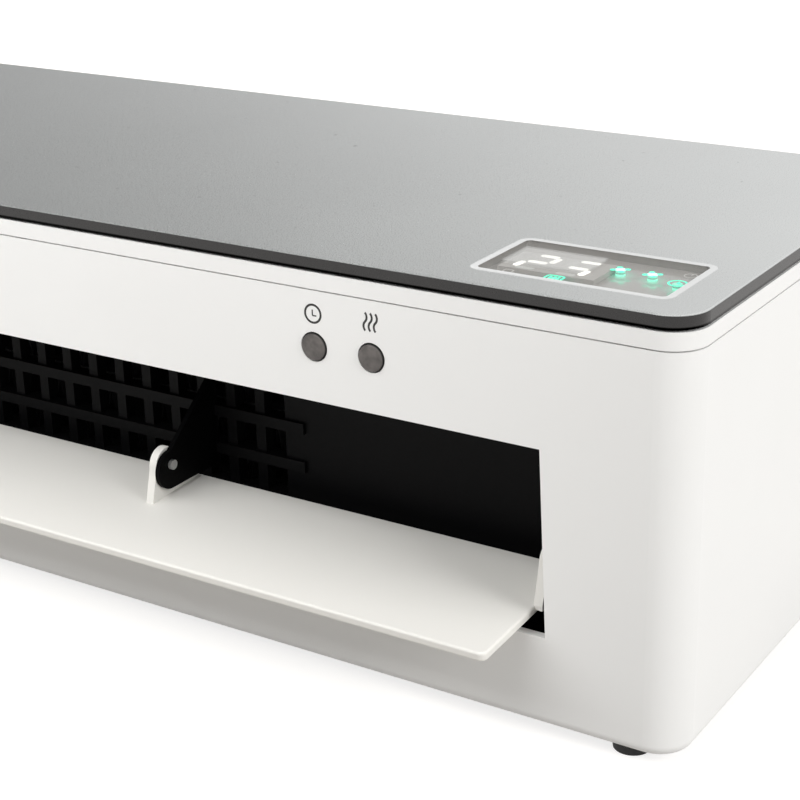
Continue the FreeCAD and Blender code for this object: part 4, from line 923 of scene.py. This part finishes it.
class HEATER_OT_outlet(bpy.types.Operator):
    """Finishes the outlet: duct, grille, brackets, pins, heater and fan"""

    bl_idname = "heater.outlet"
    bl_label = "Outlet"

    def execute(self, context):
        black = context.scene.heater_finish.black
        grille_black = [1.6 * c for c in black]
        duct = moulded("duct_black", black, 0.6, grain=1200.0, drift=0.2, specular=0.06)
        grille = moulded("grille_black", grille_black, 0.55, grain=1400.0, drift=0.2, specular=0.1)
        bracket = moulded("bracket_black", black, 0.5, grain=1500.0, drift=0.15, specular=0.04)
        fan = moulded("fan_black", black, 0.5, grain=1500.0, drift=0.15, specular=0.1)
        pin = metal("pin_steel", (0.90, 0.90, 0.89), 0.38, along=4000.0, across=4000.0)
        # Painted shade: the aluminium fins are coloured near black, standing for the shade deep in the
        # outlet.
        fins = metal("fin_aluminium_painted_shade", (0.10, 0.10, 0.10), 0.5, along=900.0, across=900.0)
        holder = moulded("holder_cream", (0.70, 0.67, 0.58), 0.6, grain=1000.0, drift=0.06)
        brass = metal("bush_brass", (0.72, 0.52, 0.24), 0.3, along=3000.0, across=3000.0)
        finish_nodes({
            duct: ("outlet_duct", "fan_scroll", "fan_tongue"),
            grille: ("outlet_grille",),
            bracket: ("louvre_bracket_left", "louvre_bracket_right", "louvre_bush"),
            fan: ("fan_impeller",),
            pin: ("louvre_pins", "louvre_drive_shaft", "motor_shaft"),
            fins: ("heater_fins", "heater_bars"),
            holder: ("heater_holder_left", "heater_holder_right"),
            brass: ("fan_bearing",),
        })
        return {"FINISHED"}


class HEATER_OT_works(bpy.types.Operator):
    """Finishes the motors, boards and other works inside"""

    bl_idname = "heater.works"
    bl_label = "Works inside"

    def execute(self, context):
        board = moulded("board_green", (0.03, 0.16, 0.07), 0.4, grain=700.0, drift=0.2)
        steel = metal("galvanised_steel", (0.55, 0.55, 0.56), 0.35, along=120.0, across=900.0)
        screw = metal("screw_steel", (0.6, 0.6, 0.6), 0.3, along=2500.0, across=2500.0)
        gloss = moulded("receiver_black", (0.012, 0.012, 0.012), 0.15, grain=3000.0, drift=0.1)
        switch = moulded("switch_black", (0.015, 0.015, 0.015), 0.5, grain=1500.0, drift=0.1)
        relay = moulded("relay_blue", (0.03, 0.09, 0.30), 0.4, grain=1200.0, drift=0.1)
        terminal = moulded("terminal_cream", (0.65, 0.63, 0.56), 0.5, grain=1200.0, drift=0.05)
        rubber = moulded("grommet_rubber", (0.016, 0.016, 0.016), 0.75, grain=900.0, drift=0.2)
        felt = moulded("filter_grey", (0.10, 0.10, 0.10), 0.85, grain=500.0, drift=0.4, relief=0.2 * MM)
        finish_nodes({
            board: ("display_board", "button_board", "power_board"),
            steel: ("fan_motor", "motor_rotor", "motor_bracket", "bearing_plate", "louvre_motor",
                    "thermal_cutout"),
            screw: ("motor_screws", "plate_screws", "board_screws", "cover_screws"),
            gloss: ("remote_receiver", "room_sensor"),
            switch: ("button_switches",),
            relay: ("relays",),
            terminal: ("terminal_block",),
            rubber: ("motor_grommets",),
            felt: ("intake_filter",),
        })
        return {"FINISHED"}


class HEATER_OT_side_and_feet(bpy.types.Operator):
    """Finishes the mains switch, the cord gland and the feet"""

    bl_idname = "heater.side_and_feet"
    bl_label = "Mains switch and feet"

    def execute(self, context):
        rubber = moulded("foot_rubber", (0.007, 0.006, 0.006), 0.7, grain=800.0, drift=0.25,
                         relief=0.03 * MM)
        rocker = moulded("rocker_black", (0.014, 0.014, 0.014), 0.3, grain=2500.0, drift=0.1)
        paint = moulded("rocker_paint", (0.75, 0.75, 0.73), 0.5, grain=3000.0, drift=0.08,
                        relief=0.002 * MM)
        finish_nodes({
            rubber: ("rubber_feet", "mains_gland"),
            rocker: ("power_switch_body", "power_rocker"),
        })
        thickness = context.scene.heater_sizes.ink_thickness
        on = bar("on_mark", (0, -ON_HALF), (0, ON_HALF), ROCKER_LINE)
        off = arc("off_mark", (0, 0), OFF_RADIUS, ROCKER_LINE, 0, 2 * math.pi, 32)
        for mark, side in ((on, 1), (off, -1)):
            thickened(mark, thickness)
            mark.matrix_world = self.paddle_place(side)
            settle(mark)
            dressed(mark, paint, "rocker_body")
        return {"FINISHED"}

    def paddle_place(self, side):
        """Middle of one of the two slopes of the paddle, with the drawing's Z outward."""
        pin = Vector((SWITCH_LOW.x + PADDLE_PIN_DROP, (SWITCH_LOW.y + SWITCH_HIGH.y) / 2,
                      (SWITCH_LOW.z + SWITCH_HIGH.z) / 2))
        slope = math.atan2(PADDLE_VALLEY, PADDLE_HALF)
        middle = Vector((-PADDLE_RISE + PADDLE_VALLEY / 2, side * PADDLE_HALF / 2, 0))
        facing = Matrix(((0, 0, -1, 0), (-1, 0, 0, 0), (0, 1, 0, 0), (0, 0, 0, 1)))
        lean = Matrix.Rotation(side * slope, 4, "Z")
        rest = Matrix.Rotation(PADDLE_REST, 4, "Z")
        return Matrix.Translation(pin) @ rest @ Matrix.Translation(middle) @ lean @ facing


def seen_directly(tree):
    """1 for rays from the camera, a reflection or a clear piece, and 0 for the light on the object."""
    path = add_node(tree, "ShaderNodeLightPath").outputs
    shown = maths(tree, "MAXIMUM", path["Is Camera Ray"], path["Is Glossy Ray"])
    return maths(tree, "MAXIMUM", shown, path["Is Transmission Ray"])


class HEATER_OT_stage(bpy.types.Operator):
    """Sets the floor, the lamps, the world and the camera"""

    bl_idname = "heater.stage"
    bl_label = "Stage"

    def execute(self, context):
        stage = context.scene.heater_stage
        self.floor()
        self.world(context, stage)
        self.lamps(stage)
        self.camera(context, stage)
        context.scene.view_settings.view_transform = "Standard"
        return {"FINISHED"}

    def floor(self):
        deselect()
        bpy.ops.mesh.primitive_plane_add(size=FLOOR_SIZE, location=(0, 0, 0))
        floor = named("floor")
        material, tree, shader = blank_material("white_floor")
        fill(tree, shader, {
            "Base Color": FLOOR_COLOUR,
            "Roughness": 0.9,
            "Specular IOR Level": 0.1,
            "Emission Color": (1, 1, 1),
            "Emission Strength": maths(tree, "MULTIPLY", seen_directly(tree), FLOOR_GLOW),
        })
        floor.data.materials.append(material)

    def world(self, context, stage):
        world = bpy.data.worlds.new("studio")
        context.scene.world = world
        world.use_nodes = True
        tree = world.node_tree
        ambient = tree.nodes["Background"]
        fill(tree, ambient, {"Color": (1, 1, 1), "Strength": stage.ambient})
        facing = add_node(tree, "ShaderNodeTexCoord").outputs["Generated"]
        levelled = vectors(tree, "MINIMUM", facing, (1.0, 1.0, SKY_LEVEL))
        slope = vectors(tree, "DOT_PRODUCT", levelled, SKY_SLOPE, output="Value")
        path = add_node(tree, "ShaderNodeLightPath").outputs
        level = maths(tree, "MAXIMUM", mapped(tree, slope, SKY_SPAN, SKY_RANGE), path["Is Camera Ray"])
        backdrop = add_node(tree, "ShaderNodeBackground")
        fill(tree, backdrop, {"Color": (1, 1, 1), "Strength": level})
        mix = add_node(tree, "ShaderNodeMixShader")
        feed(tree, mix.inputs["Fac"], seen_directly(tree))
        feed(tree, mix.inputs[1], ambient.outputs[0])
        feed(tree, mix.inputs[2], backdrop.outputs[0])
        feed(tree, tree.nodes["World Output"].inputs["Surface"], mix.outputs[0])

    def lamps(self, stage):
        plan = (
            ("front_lamp", (-0.16, -0.30, 0.36), (-0.16, -0.07, 0.08), (0.8, 0.2), stage.front_power),
            ("side_lamp", (1.6, -0.2, 0.9), (0.2, 0.0, 0.06), (0.9, 0.7), stage.side_power),
            ("back_lamp", (-1.1, 1.3, 0.9), (-0.1, 0.05, 0.06), (0.9, 0.7), stage.back_power),
        )
        for name, place, aim, size, power in plan:
            deselect()
            bpy.ops.object.light_add(type="AREA", location=place)
            lamp = named(name)
            lamp.rotation_euler = (Vector(aim) - Vector(place)).to_track_quat("-Z", "Y").to_euler()
            lamp.data.shape = "RECTANGLE"
            lamp.data.size, lamp.data.size_y = size
            lamp.data.energy = power
            lamp.visible_glossy = False

    def camera(self, context, stage):
        deselect()
        bpy.ops.object.camera_add()
        camera = named("photo_camera")
        camera.data.lens = stage.lens
        camera.data.sensor_width = 36.0
        camera.data.clip_start = 0.01
        place = Matrix.Translation(stage.eye)
        turn = Matrix.Rotation(stage.turn, 4, "Z")
        pitch = Matrix.Rotation(math.pi / 2 - stage.pitch, 4, "X")
        roll = Matrix.Rotation(stage.roll, 4, "Z")
        camera.matrix_world = place @ turn @ pitch @ roll
        context.scene.camera = camera


class HEATER_PT_panel(bpy.types.Panel):
    """Lists the heater's steps and values"""

    bl_idname = "HEATER_PT_panel"
    bl_label = "Wall fan heater"
    bl_space_type = "VIEW_3D"
    bl_region_type = "UI"
    bl_category = "Heater"

    def draw(self, context):
        for operator in OPERATORS:
            self.layout.operator(operator.bl_idname)
        for group in (context.scene.heater_finish, context.scene.heater_sizes, context.scene.heater_stage):
            for key in group.bl_rna.properties.keys():
                if key not in ("rna_type", "name"):
                    self.layout.prop(group, key)


OPERATORS = (
    HEATER_OT_white_mouldings,
    HEATER_OT_panel,
    HEATER_OT_display,
    HEATER_OT_buttons,
    HEATER_OT_outlet,
    HEATER_OT_works,
    HEATER_OT_side_and_feet,
    HEATER_OT_stage,
)
CLASSES = (HeaterFinish, HeaterSizes, HeaterStage, *OPERATORS, HEATER_PT_panel)


def register():
    for cls in CLASSES:
        bpy.utils.register_class(cls)
    bpy.types.Scene.heater_finish = PointerProperty(type=HeaterFinish)
    bpy.types.Scene.heater_sizes = PointerProperty(type=HeaterSizes)
    bpy.types.Scene.heater_stage = PointerProperty(type=HeaterStage)


def unregister():
    del bpy.types.Scene.heater_stage
    del bpy.types.Scene.heater_sizes
    del bpy.types.Scene.heater_finish
    for cls in reversed(CLASSES):
        bpy.utils.unregister_class(cls)


def main():
    register()
    for operator in OPERATORS:
        group, step = operator.bl_idname.split(".")
        getattr(getattr(bpy.ops, group), step)()


if __name__ == "__main__":
    main()
